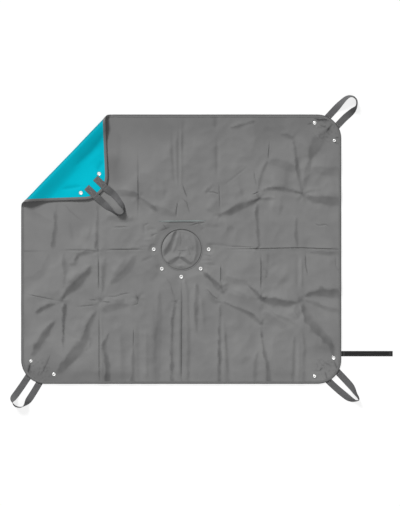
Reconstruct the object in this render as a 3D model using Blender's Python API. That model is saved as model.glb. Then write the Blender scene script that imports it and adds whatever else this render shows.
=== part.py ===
"""A repotting mat: two sewn cloths with a hatch in the middle, and folding corners with handles.

The mat lies flat, grey face up, with its top left corner turned over.
Metres, +Z up, +Y towards the top edge. The origin is on the floor under the mat's middle.
"""

import math

import bmesh
import bpy
from mathutils import Matrix, Vector
from mathutils.geometry import tessellate_polygon

# Sheet: a face cloth over a lining cloth
MAT_WIDTH = 1.200
MAT_DEPTH = 1.010
CORNER_RADIUS = 0.090
CLOTH = 0.0005
SEWN_GAP = 0.0003

# Edge binding, a folded tape that wraps both cloths
BINDING_WIDTH = 0.010
BINDING_CLOTH = 0.0005

# Fold line of a corner, as its distance from the sharp corner along each edge
FOLD_LEG = 0.322
TURNED_LEG_ACROSS = 0.316
TURNED_LEG_DOWN = 0.3285
FOLD_ROLL_RADIUS = 0.012
TURNED_TIP_HEIGHT = 0.0055

# Hatch in the middle: a hole, and a flap under it that is sewn on above the hole. The flap sags
# to the floor inside the hole
HOLE_RADIUS = 0.075
HOLE_BINDING_WIDTH = 0.006
HATCH_OVERLAP = 0.045
HATCH_CORNER_RADIUS = 0.028
SEAM_FROM_HOLE = 0.025
SEAM_ALLOWANCE = 0.012
HATCH_SNAP_MARGIN = 0.001
HATCH_SNAP_ANGLES = (180.0, 225.0, 270.0, 315.0, 360.0)
HATCH_BINDING_START = 70.0
SAG_RADIUS = 0.060
SAG_SLOPE = 0.012

# Snap fasteners
SNAP_CAP_RADIUS = 0.0075
SNAP_CAP_HEIGHT = 0.0021
SNAP_FLANGE_RADIUS = 0.0060
SNAP_FLANGE_HEIGHT = 0.0005
SNAP_SOCKET_HEIGHT = 0.0024
SNAP_POST_RADIUS = 0.0034
SNAP_BORE_RADIUS = 0.0022
SNAP_STUD_RADIUS = 0.0019
SNAP_STUD_HEIGHT = 0.0021
CORNER_SNAP_SPREAD = 0.099

# Each corner's pair of snaps: how far back from the handle's place, and how far to one side
TOP_LEFT_SNAPS = (0.053, -0.0045)
TOP_RIGHT_SNAPS = (0.053, 0.003)
BOTTOM_RIGHT_SNAPS = (0.053, 0.0)
BOTTOM_LEFT_SNAPS = (0.060, -0.0055)

# Webbing handles
WEBBING_WIDTH = 0.025
WEBBING_THICKNESS = 0.0013
STRAND_SPACING = 0.048
TAIL_LENGTH = 0.052
HANDLE_REACH = 0.118

# Closure strap of hook and loop tape
STRAP_WIDTH = 0.020
STRAP_THICKNESS = 0.0012
STRAP_LENGTH = 0.191
STRAP_TAIL = 0.015
STRAP_FROM_CORNER = 0.113

# A webbing or a strap turns about a line just beyond the end of its sewn tail
SEWN_END_MARGIN = 0.001
KNUCKLE_SHARE = 1.1
HATCH_KNUCKLE_SHARE = 2.4

# Facets
ARC_STEPS = 10
HOLE_STEPS = 48
SNAP_SIDES = 14
ROLL_STEPS = 12
SPLINE_STEPS = 4

# A loop's rounded start, as shares of the webbing's thickness: how far back, and how thick
ROUND_END_SHARES = ((-0.50, 0.30), (-0.30, 0.75))

# A snap's domed cap, as shares of its radius and of its height
CAP_SHARES = ((0.00, 1.00), (0.50, 1.00), (0.80, 0.80), (0.95, 0.45), (1.00, 0.00))

# Places along a handle's loop: how far out, how far across and how far it stands on edge,
# as shares of the handle's reach, of half the strand spacing and of a quarter turn
TOP_RIGHT_LOOP_SHARES = (
    (0.00, -1.00, 0.00), (0.30, -0.98, 0.05), (0.58, -0.97, 0.40), (0.80, -0.88, 0.62),
    (0.94, -0.58, 0.85), (1.00, 0.00, 0.95), (0.97, 0.66, 0.95), (0.80, 1.22, 0.80),
    (0.60, 1.22, 0.30), (0.30, 1.05, 0.00), (0.00, 1.00, 0.00),
)
BOTTOM_RIGHT_LOOP_SHARES = (
    (0.00, -1.00, 0.00), (0.32, -0.98, 0.00), (0.60, -0.92, 0.25), (0.84, -0.65, 0.65),
    (1.00, -0.50, 0.95), (1.07, -0.28, 1.00), (1.02, 0.12, 0.90), (0.90, 0.45, 0.50),
    (0.75, 0.66, 0.20), (0.50, 0.82, 0.00), (0.28, 0.92, 0.00), (0.00, 1.00, 0.00),
)
BOTTOM_LEFT_LOOP_SHARES = (
    (0.00, -1.00, 0.00), (0.30, -0.98, 0.00), (0.56, -0.92, 0.15), (0.76, -0.85, 0.75),
    (0.90, -0.50, 1.00), (0.97, 0.30, 1.00), (0.92, 1.05, 0.85), (0.80, 1.32, 0.25),
    (0.58, 1.22, 0.00), (0.30, 1.10, 0.00), (0.00, 1.00, 0.00),
)
TOP_LEFT_LOOP_SHARES = (
    (0.00, -1.00, 0.00), (0.28, -1.12, 0.00), (0.55, -1.10, 0.20), (0.80, -0.88, 0.60),
    (0.96, -0.45, 0.95), (1.00, 0.10, 1.00), (0.94, 0.60, 0.95), (0.78, 0.90, 0.75),
    (0.55, 0.98, 0.40), (0.28, 1.00, 0.00), (0.00, 1.00, 0.00),
)
TURNED_LOOP_DROP_SHARE = 0.35

# Levels above the floor. What lies deepest under the mat sets the height of the lining
HATCH_LAYER = max(BINDING_CLOTH, SNAP_FLANGE_HEIGHT)
LINING_LOW = SEWN_GAP + max(
    WEBBING_THICKNESS + SEWN_GAP + BINDING_CLOTH,
    2 * (HATCH_LAYER + SEWN_GAP) + CLOTH,
    SNAP_CAP_HEIGHT,
)
LINING_HIGH = LINING_LOW + CLOTH
FACE_LOW = LINING_HIGH + SEWN_GAP
FACE_HIGH = FACE_LOW + CLOTH
MIDDLE = (LINING_LOW + FACE_HIGH) / 2
BINDING_LOW = LINING_LOW - SEWN_GAP - BINDING_CLOTH
BINDING_HIGH = FACE_HIGH + SEWN_GAP + BINDING_CLOTH
TAIL_HIGH = BINDING_LOW - SEWN_GAP
TAIL_LOW = TAIL_HIGH - WEBBING_THICKNESS
FLAP_HIGH = LINING_LOW - 2 * SEWN_GAP - HATCH_LAYER
FLAP_LOW = FLAP_HIGH - CLOTH

# Sizes that follow from those above
CLOTH_INSET = BINDING_CLOTH + SEWN_GAP
HATCH_HALF_WIDTH = HOLE_RADIUS + HATCH_OVERLAP
SEAM_HEIGHT = HOLE_RADIUS + SEAM_FROM_HOLE
HATCH_SNAP_CIRCLE = HATCH_HALF_WIDTH - BINDING_WIDTH - SNAP_FLANGE_RADIUS - HATCH_SNAP_MARGIN
HATCH_AXIS_Y = SEAM_HEIGHT - CLOTH_INSET - CLOTH / 2
ROLL_HALF_CLOTH = math.pi * FOLD_ROLL_RADIUS / 2
HANDLE_AXIS_OUT = SEWN_END_MARGIN + KNUCKLE_SHARE * WEBBING_THICKNESS
STRAP_AXIS_OUT = SEWN_END_MARGIN + KNUCKLE_SHARE * STRAP_THICKNESS
UP = Vector((0, 0, 1))


def new_material(name, colour, roughness, metallic=0.0):
    """A plain Principled material."""
    material = bpy.data.materials.new(name)
    material.use_nodes = True
    shader = material.node_tree.nodes["Principled BSDF"]
    shader.inputs["Base Color"].default_value = (*colour, 1.0)
    shader.inputs["Roughness"].default_value = roughness
    shader.inputs["Metallic"].default_value = metallic
    material.diffuse_color = (*colour, 1.0)
    return material


def new_piece(name, shape, material, smooth=False):
    """A named object from (points, faces), with its faces turned outwards."""
    points, faces = shape
    mesh = bpy.data.meshes.new(name)
    mesh.from_pydata([tuple(p) for p in points], [], faces)
    surface = bmesh.new()
    surface.from_mesh(mesh)
    bmesh.ops.recalc_face_normals(surface, faces=surface.faces)
    surface.to_mesh(mesh)
    surface.free()
    if smooth:
        mesh.shade_smooth()
        mesh.set_sharp_from_angle(angle=math.radians(40))
    piece = bpy.data.objects.new(name, mesh)
    mesh.materials.append(material)
    bpy.context.collection.objects.link(piece)
    return piece


def arc(centre, radius, start, end, steps):
    """Plan points on an arc from one angle to another, in degrees."""
    angles = [math.radians(start + (end - start) * i / steps) for i in range(steps + 1)]
    return [(centre[0] + radius * math.cos(a), centre[1] + radius * math.sin(a)) for a in angles]


def circle(centre, radius, sides):
    """Plan points round a circle, with the first one half a step round."""
    first = 180 / sides
    return arc(centre, radius, first, first + 360, sides)[:-1]


def slab(outline, low, high, holes=(), rim=(), bottom=(), depth=0):
    """A flat cloth between two levels, with holes through it.

    It may dip by a depth, from a rim down to a bottom of as many points within it.
    """
    loops = [outline, *holes]
    plan = [p for loop in (*loops, rim, bottom) for p in loop]
    count, size = len(plan), len(bottom)
    start = count - size
    dips = [0] * start + [depth] * size
    points = [(x, y, z - dip) for z in (low, high) for (x, y), dip in zip(plan, dips)]
    flat = [[Vector((x, y, 0)) for x, y in loop] for loop in (*loops, rim, bottom) if loop]
    faces = [tuple(t) for t in tessellate_polygon(flat[:-1] if size else flat)]
    if size:
        faces += [tuple(start + i for i in t) for t in tessellate_polygon(flat[-1:])]
        for i in range(size):
            j = (i + 1) % size
            faces.append((start - size + i, start - size + j, start + j, start + i))
    faces += [tuple(i + count for i in face) for face in faces]
    first = 0
    for loop in loops:
        for i in range(len(loop)):
            j = first + (i + 1) % len(loop)
            faces.append((first + i, j, j + count, first + i + count))
        first += len(loop)
    return points, faces


def loft(rings, closed=False):
    """A skin over rings of equal count, closed on itself or with a cap at each end."""
    size = len(rings[0])
    points = [p for ring in rings for p in ring]
    faces = []
    for k in range(len(rings) if closed else len(rings) - 1):
        a, b = k * size, (k + 1) % len(rings) * size
        faces += [(a + i, a + (i + 1) % size, b + (i + 1) % size, b + i) for i in range(size)]
    if not closed:
        faces += [tuple(range(size)), tuple(range(len(points) - size, len(points)))]
    return points, faces


def lathe(profile, centre):
    """A turned piece. Its profile of (radius, level) starts and ends on the axis."""
    (x, y), inner = centre, profile[1:-1]
    points = [(x, y, profile[0][1])]
    for radius, level in inner:
        points += [(px, py, level) for px, py in circle(centre, radius, SNAP_SIDES)]
    points.append((x, y, profile[-1][1]))
    last, top, faces = len(points) - 1, len(points) - 1 - SNAP_SIDES, []
    for i in range(SNAP_SIDES):
        j = (i + 1) % SNAP_SIDES
        faces += [(0, 1 + j, 1 + i), (last, top + i, top + j)]
        for k in range(len(inner) - 1):
            a = 1 + k * SNAP_SIDES
            faces.append((a + i, a + j, a + j + SNAP_SIDES, a + i + SNAP_SIDES))
    return points, faces


def binding_section(width):
    """The tape's section as (distance in from the edge, level), wrapped round both cloths."""
    return binding_round(LINING_LOW, FACE_HIGH, width)


def binding_round(cloth_low, cloth_high, width):
    """A folded tape's section round cloth that lies between two levels."""
    low, high = cloth_low - SEWN_GAP, cloth_high + SEWN_GAP
    return (
        (0, low - BINDING_CLOTH),
        (width, low - BINDING_CLOTH),
        (width, low),
        (BINDING_CLOTH, low),
        (BINDING_CLOTH, high),
        (width, high),
        (width, high + BINDING_CLOTH),
        (0, high + BINDING_CLOTH),
    )


def sweep_section(section, path_at, closed=False):
    """A section swept along a path. path_at gives the path's plan points at an inset."""
    paths = {inset: path_at(inset) for inset, _ in section}
    count = len(paths[0])
    rings = [[(*paths[inset][k], level) for inset, level in section] for k in range(count)]
    return loft(rings, closed)


def frame_at(origin, forward):
    """A frame with Y along forward, Z up, and X along their hinge line."""
    hinge = forward.cross(UP)
    turn = Matrix((hinge, forward, UP)).transposed().to_4x4()
    return Matrix.Translation(origin) @ turn


def new_axis(name, frame, parent=None):
    """An empty that stands on a joint's axis."""
    empty = bpy.data.objects.new(name, None)
    empty.empty_display_size = FOLD_ROLL_RADIUS
    bpy.context.collection.objects.link(empty)
    empty.parent = parent
    empty.matrix_local = frame
    return empty


def carry(piece, empty, frame):
    """Hang a piece that was made in world coordinates on an empty that stood at frame."""
    piece.data.transform(frame.inverted())
    piece.parent = empty


class Corner:
    """A corner of the mat: where it is, where it folds, and where its handle leaves it."""

    def __init__(self, name, side, end, legs, handle_angle, snaps, loop_shares, turned=False):
        self.name, self.side, self.end = name, side, end
        self.across, self.down = legs
        self.turned = turned
        self.snaps, self.loop_shares = snaps, loop_shares
        self.depth = 1 / math.hypot(1 / self.across, 1 / self.down)
        self.gap = ROLL_HALF_CLOTH if turned else SEWN_GAP / 2
        outward = Vector((side / self.across, end / self.down, 0)).normalized()
        middle = self.plan(self.across / 2, self.down / 2)
        fold_origin = Vector((*middle, MIDDLE + FOLD_ROLL_RADIUS))
        self.flat_frame = frame_at(fold_origin, outward)
        share = 1 - CORNER_RADIUS / self.across - CORNER_RADIUS / self.down
        tip = share * self.depth + CORNER_RADIUS
        rise = (2 * FOLD_ROLL_RADIUS - TURNED_TIP_HEIGHT) / tip
        self.angle = math.pi + math.asin(rise) if turned else 0
        self.fold = Matrix.Rotation(self.angle, 4, "X")
        self.frame = self.flat_frame @ self.fold
        self.motion = self.frame @ self.flat_frame.inverted()
        turn = math.radians(handle_angle)
        self.out = Vector((side * math.cos(turn), end * math.sin(turn), 0))
        self.over = self.out.cross(UP)
        self.round_centre = Vector((*self.plan(CORNER_RADIUS, CORNER_RADIUS), 0))
        self.edge = self.round_centre + CORNER_RADIUS * self.out
        start = self.edge + HANDLE_AXIS_OUT * self.out + UP * (TAIL_LOW + TAIL_HIGH) / 2
        self.handle_frame = frame_at(start, self.out)

    def plan(self, inward_x, inward_y):
        """The plan point at these distances in from the corner's two edges."""
        return (
            self.side * (MAT_WIDTH / 2 - inward_x),
            self.end * (MAT_DEPTH / 2 - inward_y),
        )

    def band(self, inset, cut):
        """The corner's outline at an inset, between its two ends on the fold line.

        The ends lie where the line at distance cut outside the fold crosses the edges.
        """
        share = 1 - cut / self.depth
        radius = CORNER_RADIUS - inset
        first = (self.across * (share - inset / self.down), inset)
        last = (inset, self.down * (share - inset / self.across))
        bend = arc((CORNER_RADIUS, CORNER_RADIUS), -radius, 90, 0, ARC_STEPS)
        return [self.plan(*p) for p in (first, *bend, last)]

    def near(self, outward, across):
        """The plan point at these distances from the handle's place on the edge."""
        point = self.edge + outward * self.out + across * self.over
        return (point.x, point.y)

    def snap_places(self):
        """Where the stud and the socket go through the corner."""
        (back, aside), half = self.snaps, CORNER_SNAP_SPREAD / 2
        return self.near(-back, aside - half), self.near(-back, aside + half)


TOP_LEFT = Corner(
    name="top_left",
    side=-1,
    end=1,
    legs=(TURNED_LEG_ACROSS, TURNED_LEG_DOWN),
    handle_angle=44.0,
    snaps=TOP_LEFT_SNAPS,
    loop_shares=TOP_LEFT_LOOP_SHARES,
    turned=True,
)
TOP_RIGHT = Corner(
    name="top_right",
    side=1,
    end=1,
    legs=(FOLD_LEG, FOLD_LEG),
    handle_angle=48.0,
    snaps=TOP_RIGHT_SNAPS,
    loop_shares=TOP_RIGHT_LOOP_SHARES,
)
BOTTOM_RIGHT = Corner(
    name="bottom_right",
    side=1,
    end=-1,
    legs=(FOLD_LEG, FOLD_LEG),
    handle_angle=46.0,
    snaps=BOTTOM_RIGHT_SNAPS,
    loop_shares=BOTTOM_RIGHT_LOOP_SHARES,
)
BOTTOM_LEFT = Corner(
    name="bottom_left",
    side=-1,
    end=-1,
    legs=(FOLD_LEG, FOLD_LEG),
    handle_angle=60.0,
    snaps=BOTTOM_LEFT_SNAPS,
    loop_shares=BOTTOM_LEFT_LOOP_SHARES,
)
CORNERS = (TOP_LEFT, TOP_RIGHT, BOTTOM_RIGHT, BOTTOM_LEFT)


def hatch_snap_places():
    """Where the five snaps of the hatch go through, round the lower half of the hole."""
    turns = [math.radians(angle) for angle in HATCH_SNAP_ANGLES]
    return [(HATCH_SNAP_CIRCLE * math.cos(t), HATCH_SNAP_CIRCLE * math.sin(t)) for t in turns]


def hatch_path(inset, start):
    """The flap's free edge at an inset: down one side, round below the hole and up again."""
    corner_x = HATCH_HALF_WIDTH - HATCH_CORNER_RADIUS
    corner_y = SEAM_HEIGHT - HATCH_CORNER_RADIUS
    small, large = HATCH_CORNER_RADIUS - inset, HATCH_HALF_WIDTH - inset
    steps = ARC_STEPS // 2
    right = arc((corner_x, corner_y), small, start, 0, steps)
    below = arc((0, 0), large, 0, -180, 2 * ARC_STEPS)
    left = arc((-corner_x, corner_y), small, 180, 180 - start, steps)
    return right + below + left


def make_main_sheet(grey, teal):
    """The face and lining between the four fold lines, with the hole and its snap holes."""
    outline = []
    for corner, forwards in zip(CORNERS, (False, True, False, True)):
        band = corner.band(CLOTH_INSET, -corner.gap)
        outline += [band[0], band[-1]] if forwards else [band[-1], band[0]]
    post_hole = SNAP_POST_RADIUS + SEWN_GAP
    holes = [circle((0, 0), HOLE_RADIUS + CLOTH_INSET, HOLE_STEPS)]
    holes += [circle(place, post_hole, SNAP_SIDES) for place in hatch_snap_places()]
    new_piece("main_face", slab(outline, FACE_LOW, FACE_HIGH, holes), grey)
    new_piece("main_lining", slab(outline, LINING_LOW, LINING_HIGH, holes), teal)


def make_edge_bindings(tape):
    """The straight runs of binding between the corners, and the ring round the hole."""
    runs = {
        "top": (TOP_LEFT, TOP_RIGHT, 0),
        "right": (TOP_RIGHT, BOTTOM_RIGHT, -1),
        "bottom": (BOTTOM_RIGHT, BOTTOM_LEFT, 0),
        "left": (BOTTOM_LEFT, TOP_LEFT, -1),
    }
    for name, (first, second, at) in runs.items():

        def straight(inset, first=first, second=second, at=at):
            return [corner.band(inset, -corner.gap)[at] for corner in (first, second)]

        shape = sweep_section(binding_section(BINDING_WIDTH), straight)
        new_piece(f"edge_binding_{name}", shape, tape)

    def ring(inset):
        return circle((0, 0), HOLE_RADIUS + inset, HOLE_STEPS)

    shape = sweep_section(binding_section(HOLE_BINDING_WIDTH), ring, closed=True)
    new_piece("hole_binding", shape, tape, smooth=True)


def cap_profile(base, rise):
    """The domed cap's (radius, level) points from its middle out to its rim at base."""
    return [(SNAP_CAP_RADIUS * r, base + rise * h) for r, h in CAP_SHARES]


def corner_snap(has_stud):
    """A corner's snap half, riveted through both cloths: a cap below, a stud or socket above."""
    below, above = LINING_LOW - SEWN_GAP, FACE_HIGH + SEWN_GAP
    profile = cap_profile(below, -SNAP_CAP_HEIGHT)
    profile += [(SNAP_POST_RADIUS, below), (SNAP_POST_RADIUS, above)]
    profile.append((SNAP_FLANGE_RADIUS, above))
    if has_stud:
        base = above + SNAP_FLANGE_HEIGHT
        top = base + SNAP_STUD_HEIGHT
        profile += [(SNAP_FLANGE_RADIUS, base), (SNAP_STUD_RADIUS, base)]
        return profile + [(SNAP_STUD_RADIUS, top), (0, top)]
    top = above + SNAP_SOCKET_HEIGHT
    bottom = top - SNAP_STUD_HEIGHT - SEWN_GAP
    profile += [(SNAP_FLANGE_RADIUS, top), (SNAP_BORE_RADIUS, top)]
    return profile + [(SNAP_BORE_RADIUS, bottom), (0, bottom)]


def make_corner(corner, axis, grey, teal, tape, metal):
    """A corner's face, lining, binding and two snap halves, on the corner's fold axis."""
    name = f"corner_{corner.name}"
    outline = corner.band(CLOTH_INSET, corner.gap)
    post_hole = SNAP_POST_RADIUS + SEWN_GAP
    holes = [circle(place, post_hole, SNAP_SIDES) for place in corner.snap_places()]

    def path(inset):
        return corner.band(inset, corner.gap)

    pieces = [
        new_piece(f"{name}_face", slab(outline, FACE_LOW, FACE_HIGH, holes), grey),
        new_piece(f"{name}_lining", slab(outline, LINING_LOW, LINING_HIGH, holes), teal),
        new_piece(f"{name}_binding", sweep_section(binding_section(BINDING_WIDTH), path), tape),
    ]
    for kind, place in zip(("stud", "socket"), corner.snap_places()):
        shape = lathe(corner_snap(kind == "stud"), place)
        pieces.append(new_piece(f"{name}_snap_{kind}", shape, metal, smooth=True))
    for piece in pieces:
        carry(piece, axis, corner.flat_frame)


def make_fold_roll(corner, grey, teal):
    """The cloth that rolls over at the turned corner's fold, from the sheet up to the flap."""
    low = Vector((0, -ROLL_HALF_CLOTH, -FOLD_ROLL_RADIUS))
    high = corner.fold @ Vector((0, ROLL_HALF_CLOTH, -FOLD_ROLL_RADIUS))
    centre, half = (low + high) / 2, (high - low) / 2
    rise = half.normalized()
    bulge = Vector((0, rise.z, -rise.y))
    margin = math.asin(SEWN_GAP / FOLD_ROLL_RADIUS)
    to_frame = corner.flat_frame.inverted()

    def ring(turn, inner, outer):
        """The strip's section at a turn round the roll, between two offsets outwards."""
        across, along = math.sin(turn), math.cos(turn)
        path = centre - half * along + bulge * FOLD_ROLL_RADIUS * across
        normal = bulge * half.length * across - rise * FOLD_ROLL_RADIUS * along
        normal.normalize()
        cut = ROLL_HALF_CLOTH * (2 * turn / math.pi - 1)
        band = corner.band(CLOTH_INSET, cut)
        ends = [(to_frame @ Vector((*p, 0))).x for p in (band[0], band[-1])]
        corners = ((ends[0], inner), (ends[0], outer), (ends[1], outer), (ends[1], inner))
        return [corner.flat_frame @ (path + normal * off + Vector((x, 0, 0))) for x, off in corners]

    turns = [margin + (math.pi - 2 * margin) * i / ROLL_STEPS for i in range(ROLL_STEPS + 1)]
    face = [ring(t, MIDDLE - FACE_HIGH, MIDDLE - FACE_LOW) for t in turns]
    lining = [ring(t, MIDDLE - LINING_HIGH, MIDDLE - LINING_LOW) for t in turns]
    new_piece("fold_roll_face", loft(face), grey, smooth=True)
    new_piece("fold_roll_lining", loft(lining), teal, smooth=True)


def smooth_path(points, steps):
    """Points on a Catmull-Rom curve through the given ones."""
    padded = [2 * points[0] - points[1], *points, 2 * points[-1] - points[-2]]
    result = []
    for a, b, c, d in zip(padded, padded[1:], padded[2:], padded[3:]):
        for i in range(steps):
            t = i / steps
            bend = 2 * a - 5 * b + 4 * c - d
            twist = 3 * b - a - 3 * c + d
            result.append((2 * b + (c - a) * t + bend * t * t + twist * t ** 3) / 2)
    return [*result, points[-1]]


def ribbon(path, width, thickness, start, end):
    """A webbing along (plan point, level of its lower side, turn on edge) places.

    It lies flat at no turn and stands on edge at a quarter turn. start and end point along
    the webbing where it meets its sewn tails, and its ends are rounded there.
    """
    rings = []

    def section(point, tangent, low, turn, share=1.0):
        side = tangent.cross(UP)
        wide = side * math.cos(turn) + UP * math.sin(turn)
        thick = UP * math.cos(turn) - side * math.sin(turn)
        rise = width / 2 * abs(math.sin(turn)) + thickness / 2 * abs(math.cos(turn))
        middle = point + UP * (low + rise)
        w, t = wide * width / 2, thick * thickness / 2 * share
        rings.append([middle - w - t, middle + w - t, middle + w + t, middle - w + t])

    first, last = path[0], path[-1]
    for back, share in ROUND_END_SHARES:
        section(first[0] + start * back * thickness, start, first[1], first[2], share)
    for k, (point, low, turn) in enumerate(path):
        before, after = path[max(k - 1, 0)][0], path[min(k + 1, len(path) - 1)][0]
        tangent = (after - before).normalized()
        tangent = start if k == 0 else end if k == len(path) - 1 else tangent
        section(point, tangent, low, turn)
    for back, share in reversed(ROUND_END_SHARES):
        section(last[0] - end * back * thickness, end, last[1], last[2], share)
    points, faces = loft(rings)
    # Both flat sides split along the same diagonal, so that a twisted webbing keeps its thickness
    flat = [f for f in faces if len(f) == 4 and f[0] % 4 == 2 and f[1] % 4 == 3]
    faces = [f for f in faces if f not in flat]
    for a, b, c, d in flat:
        faces += [(a, b, d), (b, c, d)]
    return points, faces


def loop_path(corner, share_steps):
    """The handle loop's places in the world at rest."""
    axis = corner.motion @ corner.handle_frame.translation
    out = corner.motion.to_3x3() @ corner.out
    out = Vector((out.x, out.y, 0)).normalized()
    over = out.cross(UP)
    start_low = axis.z - WEBBING_THICKNESS / 2
    rest_low = FACE_HIGH + SEWN_GAP if corner.turned else start_low
    base = Vector((axis.x, axis.y, 0))
    reach, half = HANDLE_REACH - HANDLE_AXIS_OUT, STRAND_SPACING / 2
    places = []
    for far, across, edge in smooth_path([Vector(s) for s in corner.loop_shares], share_steps):
        t = min(max(far / TURNED_LOOP_DROP_SHARE, 0), 1)
        low = start_low + (rest_low - start_low) * t * t * (3 - 2 * t)
        turn = min(max(edge, 0), 1) * math.pi / 2
        places.append((base + out * reach * far + over * half * across, low, turn))
    return places, out


def make_handle(corner, corner_axis, webbing):
    """A handle's two sewn tails under the corner, and its free loop on its own axis."""
    name, half = f"handle_{corner.name}", STRAND_SPACING / 2
    for number, across in enumerate((-half, half), start=1):
        low, high = across - WEBBING_WIDTH / 2, across + WEBBING_WIDTH / 2
        corners = ((-TAIL_LENGTH, low), (-TAIL_LENGTH, high))
        corners += ((SEWN_END_MARGIN, high), (SEWN_END_MARGIN, low))
        outline = [corner.near(*p) for p in corners]
        tail = new_piece(f"{name}_tail_{number}", slab(outline, TAIL_LOW, TAIL_HIGH), webbing)
        carry(tail, corner_axis, corner.flat_frame)
    local = corner.flat_frame.inverted() @ corner.handle_frame
    axis = new_axis(f"{name}_axis", local, corner_axis)
    path, out = loop_path(corner, SPLINE_STEPS)
    shape = ribbon(path, WEBBING_WIDTH, WEBBING_THICKNESS, out, -out)
    loop = new_piece(f"{name}_loop", shape, webbing, smooth=True)
    carry(loop, axis, corner.motion @ corner.handle_frame)


def hatch_snap_half(on_mat):
    """A hatch snap's half: the capped socket on the mat, or the stud on the flap."""
    stud_top = FLAP_HIGH + SNAP_STUD_HEIGHT
    if not on_mat:
        high = FLAP_LOW - SEWN_GAP
        low = high - SNAP_FLANGE_HEIGHT
        profile = [(0, low), (SNAP_FLANGE_RADIUS, low), (SNAP_FLANGE_RADIUS, high)]
        return profile + [(SNAP_STUD_RADIUS, high), (SNAP_STUD_RADIUS, stud_top), (0, stud_top)]
    below, above = LINING_LOW - SEWN_GAP, FACE_HIGH + SEWN_GAP
    low, bore_top = below - SNAP_FLANGE_HEIGHT, stud_top + SEWN_GAP
    profile = [(0, bore_top), (SNAP_BORE_RADIUS, bore_top), (SNAP_BORE_RADIUS, low)]
    profile += [(SNAP_FLANGE_RADIUS, low), (SNAP_FLANGE_RADIUS, below)]
    profile += [(SNAP_POST_RADIUS, below), (SNAP_POST_RADIUS, above)]
    return profile + cap_profile(above, SNAP_CAP_HEIGHT)[::-1]


def make_hatch(grey, tape, metal):
    """The flap under the hole, its binding and its snaps, hinged on the seam above the hole."""
    origin = Vector((0, HATCH_AXIS_Y, (FLAP_LOW + FLAP_HIGH) / 2))
    frame = Matrix.Translation(origin)
    axis = new_axis("hatch_axis", frame)
    stud_hole = SNAP_STUD_RADIUS + SEWN_GAP
    holes = [circle(place, stud_hole, SNAP_SIDES) for place in hatch_snap_places()]
    outline = hatch_path(CLOTH_INSET, 90)
    sides = 2 * ARC_STEPS + 1
    rim = circle((0, 0), SAG_RADIUS + SAG_SLOPE, sides)
    bottom = circle((0, 0), SAG_RADIUS, sides)
    shape = slab(outline, FLAP_LOW, FLAP_HIGH, holes, rim, bottom, depth=FLAP_LOW)
    flap = new_piece("hatch_flap", shape, grey)

    def path(inset):
        return hatch_path(inset, HATCH_BINDING_START)

    section = binding_round(FLAP_LOW, FLAP_HIGH, BINDING_WIDTH)
    binding = new_piece("hatch_binding", sweep_section(section, path), tape, smooth=True)
    carry(flap, axis, frame)
    carry(binding, axis, frame)
    for number, place in enumerate(hatch_snap_places(), start=1):
        stud_shape = lathe(hatch_snap_half(False), place)
        stud = new_piece(f"hatch_snap_{number}_stud", stud_shape, metal, smooth=True)
        carry(stud, axis, frame)
        cap_shape = lathe(hatch_snap_half(True), place)
        new_piece(f"hatch_snap_{number}_cap", cap_shape, metal, smooth=True)
    half = HATCH_HALF_WIDTH - HATCH_CORNER_RADIUS - SEWN_GAP
    low = HATCH_AXIS_Y + HATCH_KNUCKLE_SHARE * CLOTH
    high = low + SEAM_ALLOWANCE
    outline = [(-half, low), (half, low), (half, high), (-half, high)]
    seam = slab(outline, FLAP_LOW, LINING_LOW - SEWN_GAP)
    new_piece("hatch_seam_allowance", seam, grey)


def make_strap(corner, corner_axis, tape):
    """The closure strap: a tail sewn under the right edge, and the free strap on its axis."""
    middle = -MAT_DEPTH / 2 + STRAP_FROM_CORNER
    side, high = MAT_WIDTH / 2, TAIL_HIGH
    low = high - STRAP_THICKNESS
    bottom, top = middle - STRAP_WIDTH / 2, middle + STRAP_WIDTH / 2
    inner, outer = side - STRAP_TAIL, side + SEWN_END_MARGIN
    outline = [(inner, bottom), (outer, bottom), (outer, top), (inner, top)]
    tail = new_piece("closure_strap_tail", slab(outline, low, high), tape)
    carry(tail, corner_axis, corner.flat_frame)
    forward = Vector((1, 0, 0))
    frame = frame_at(Vector((side + STRAP_AXIS_OUT, middle, (low + high) / 2)), forward)
    axis = new_axis("closure_strap_axis", corner.flat_frame.inverted() @ frame, corner_axis)
    start = Vector((side + STRAP_AXIS_OUT, middle, 0))
    path = [(start + forward * STRAP_LENGTH * t, low, 0) for t in (0, 1)]
    shape = ribbon(path, STRAP_WIDTH, STRAP_THICKNESS, forward, forward)
    strap = new_piece("closure_strap", shape, tape)
    carry(strap, axis, frame)


def build():
    """Make every piece of the mat."""
    for item in list(bpy.data.objects):
        bpy.data.objects.remove(item, do_unlink=True)
    grey = new_material("grey_face_cloth", (0.20, 0.20, 0.20), 0.75)
    teal = new_material("teal_lining_cloth", (0.0, 0.40, 0.50), 0.65)
    tape = new_material("grey_binding_tape", (0.14, 0.14, 0.14), 0.80)
    webbing = new_material("grey_webbing", (0.11, 0.11, 0.11), 0.80)
    strap = new_material("black_hook_and_loop", (0.018, 0.018, 0.018), 0.90)
    metal = new_material("snap_metal", (0.75, 0.75, 0.75), 0.25, 1.0)

    make_main_sheet(grey, teal)
    make_edge_bindings(tape)
    for corner in CORNERS:
        axis = new_axis(f"corner_{corner.name}_fold_axis", corner.frame)
        make_corner(corner, axis, grey, teal, tape, metal)
        make_handle(corner, axis, webbing)
        if corner is BOTTOM_RIGHT:
            make_strap(corner, axis, strap)
        if corner.turned:
            make_fold_roll(corner, grey, teal)
    make_hatch(grey, tape, metal)


build()
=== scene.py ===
"""A repotting mat laid flat on a pale floor and seen from straight above.

The mat is two sewn cloths, grey over teal, with a hatch in the middle, a webbing handle and two
snaps at each corner, and a closure strap. Its top left corner is turned over.
"""

import math

import bpy
import numpy as np
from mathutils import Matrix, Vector, noise
from mathutils.geometry import delaunay_2d_cdt


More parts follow.
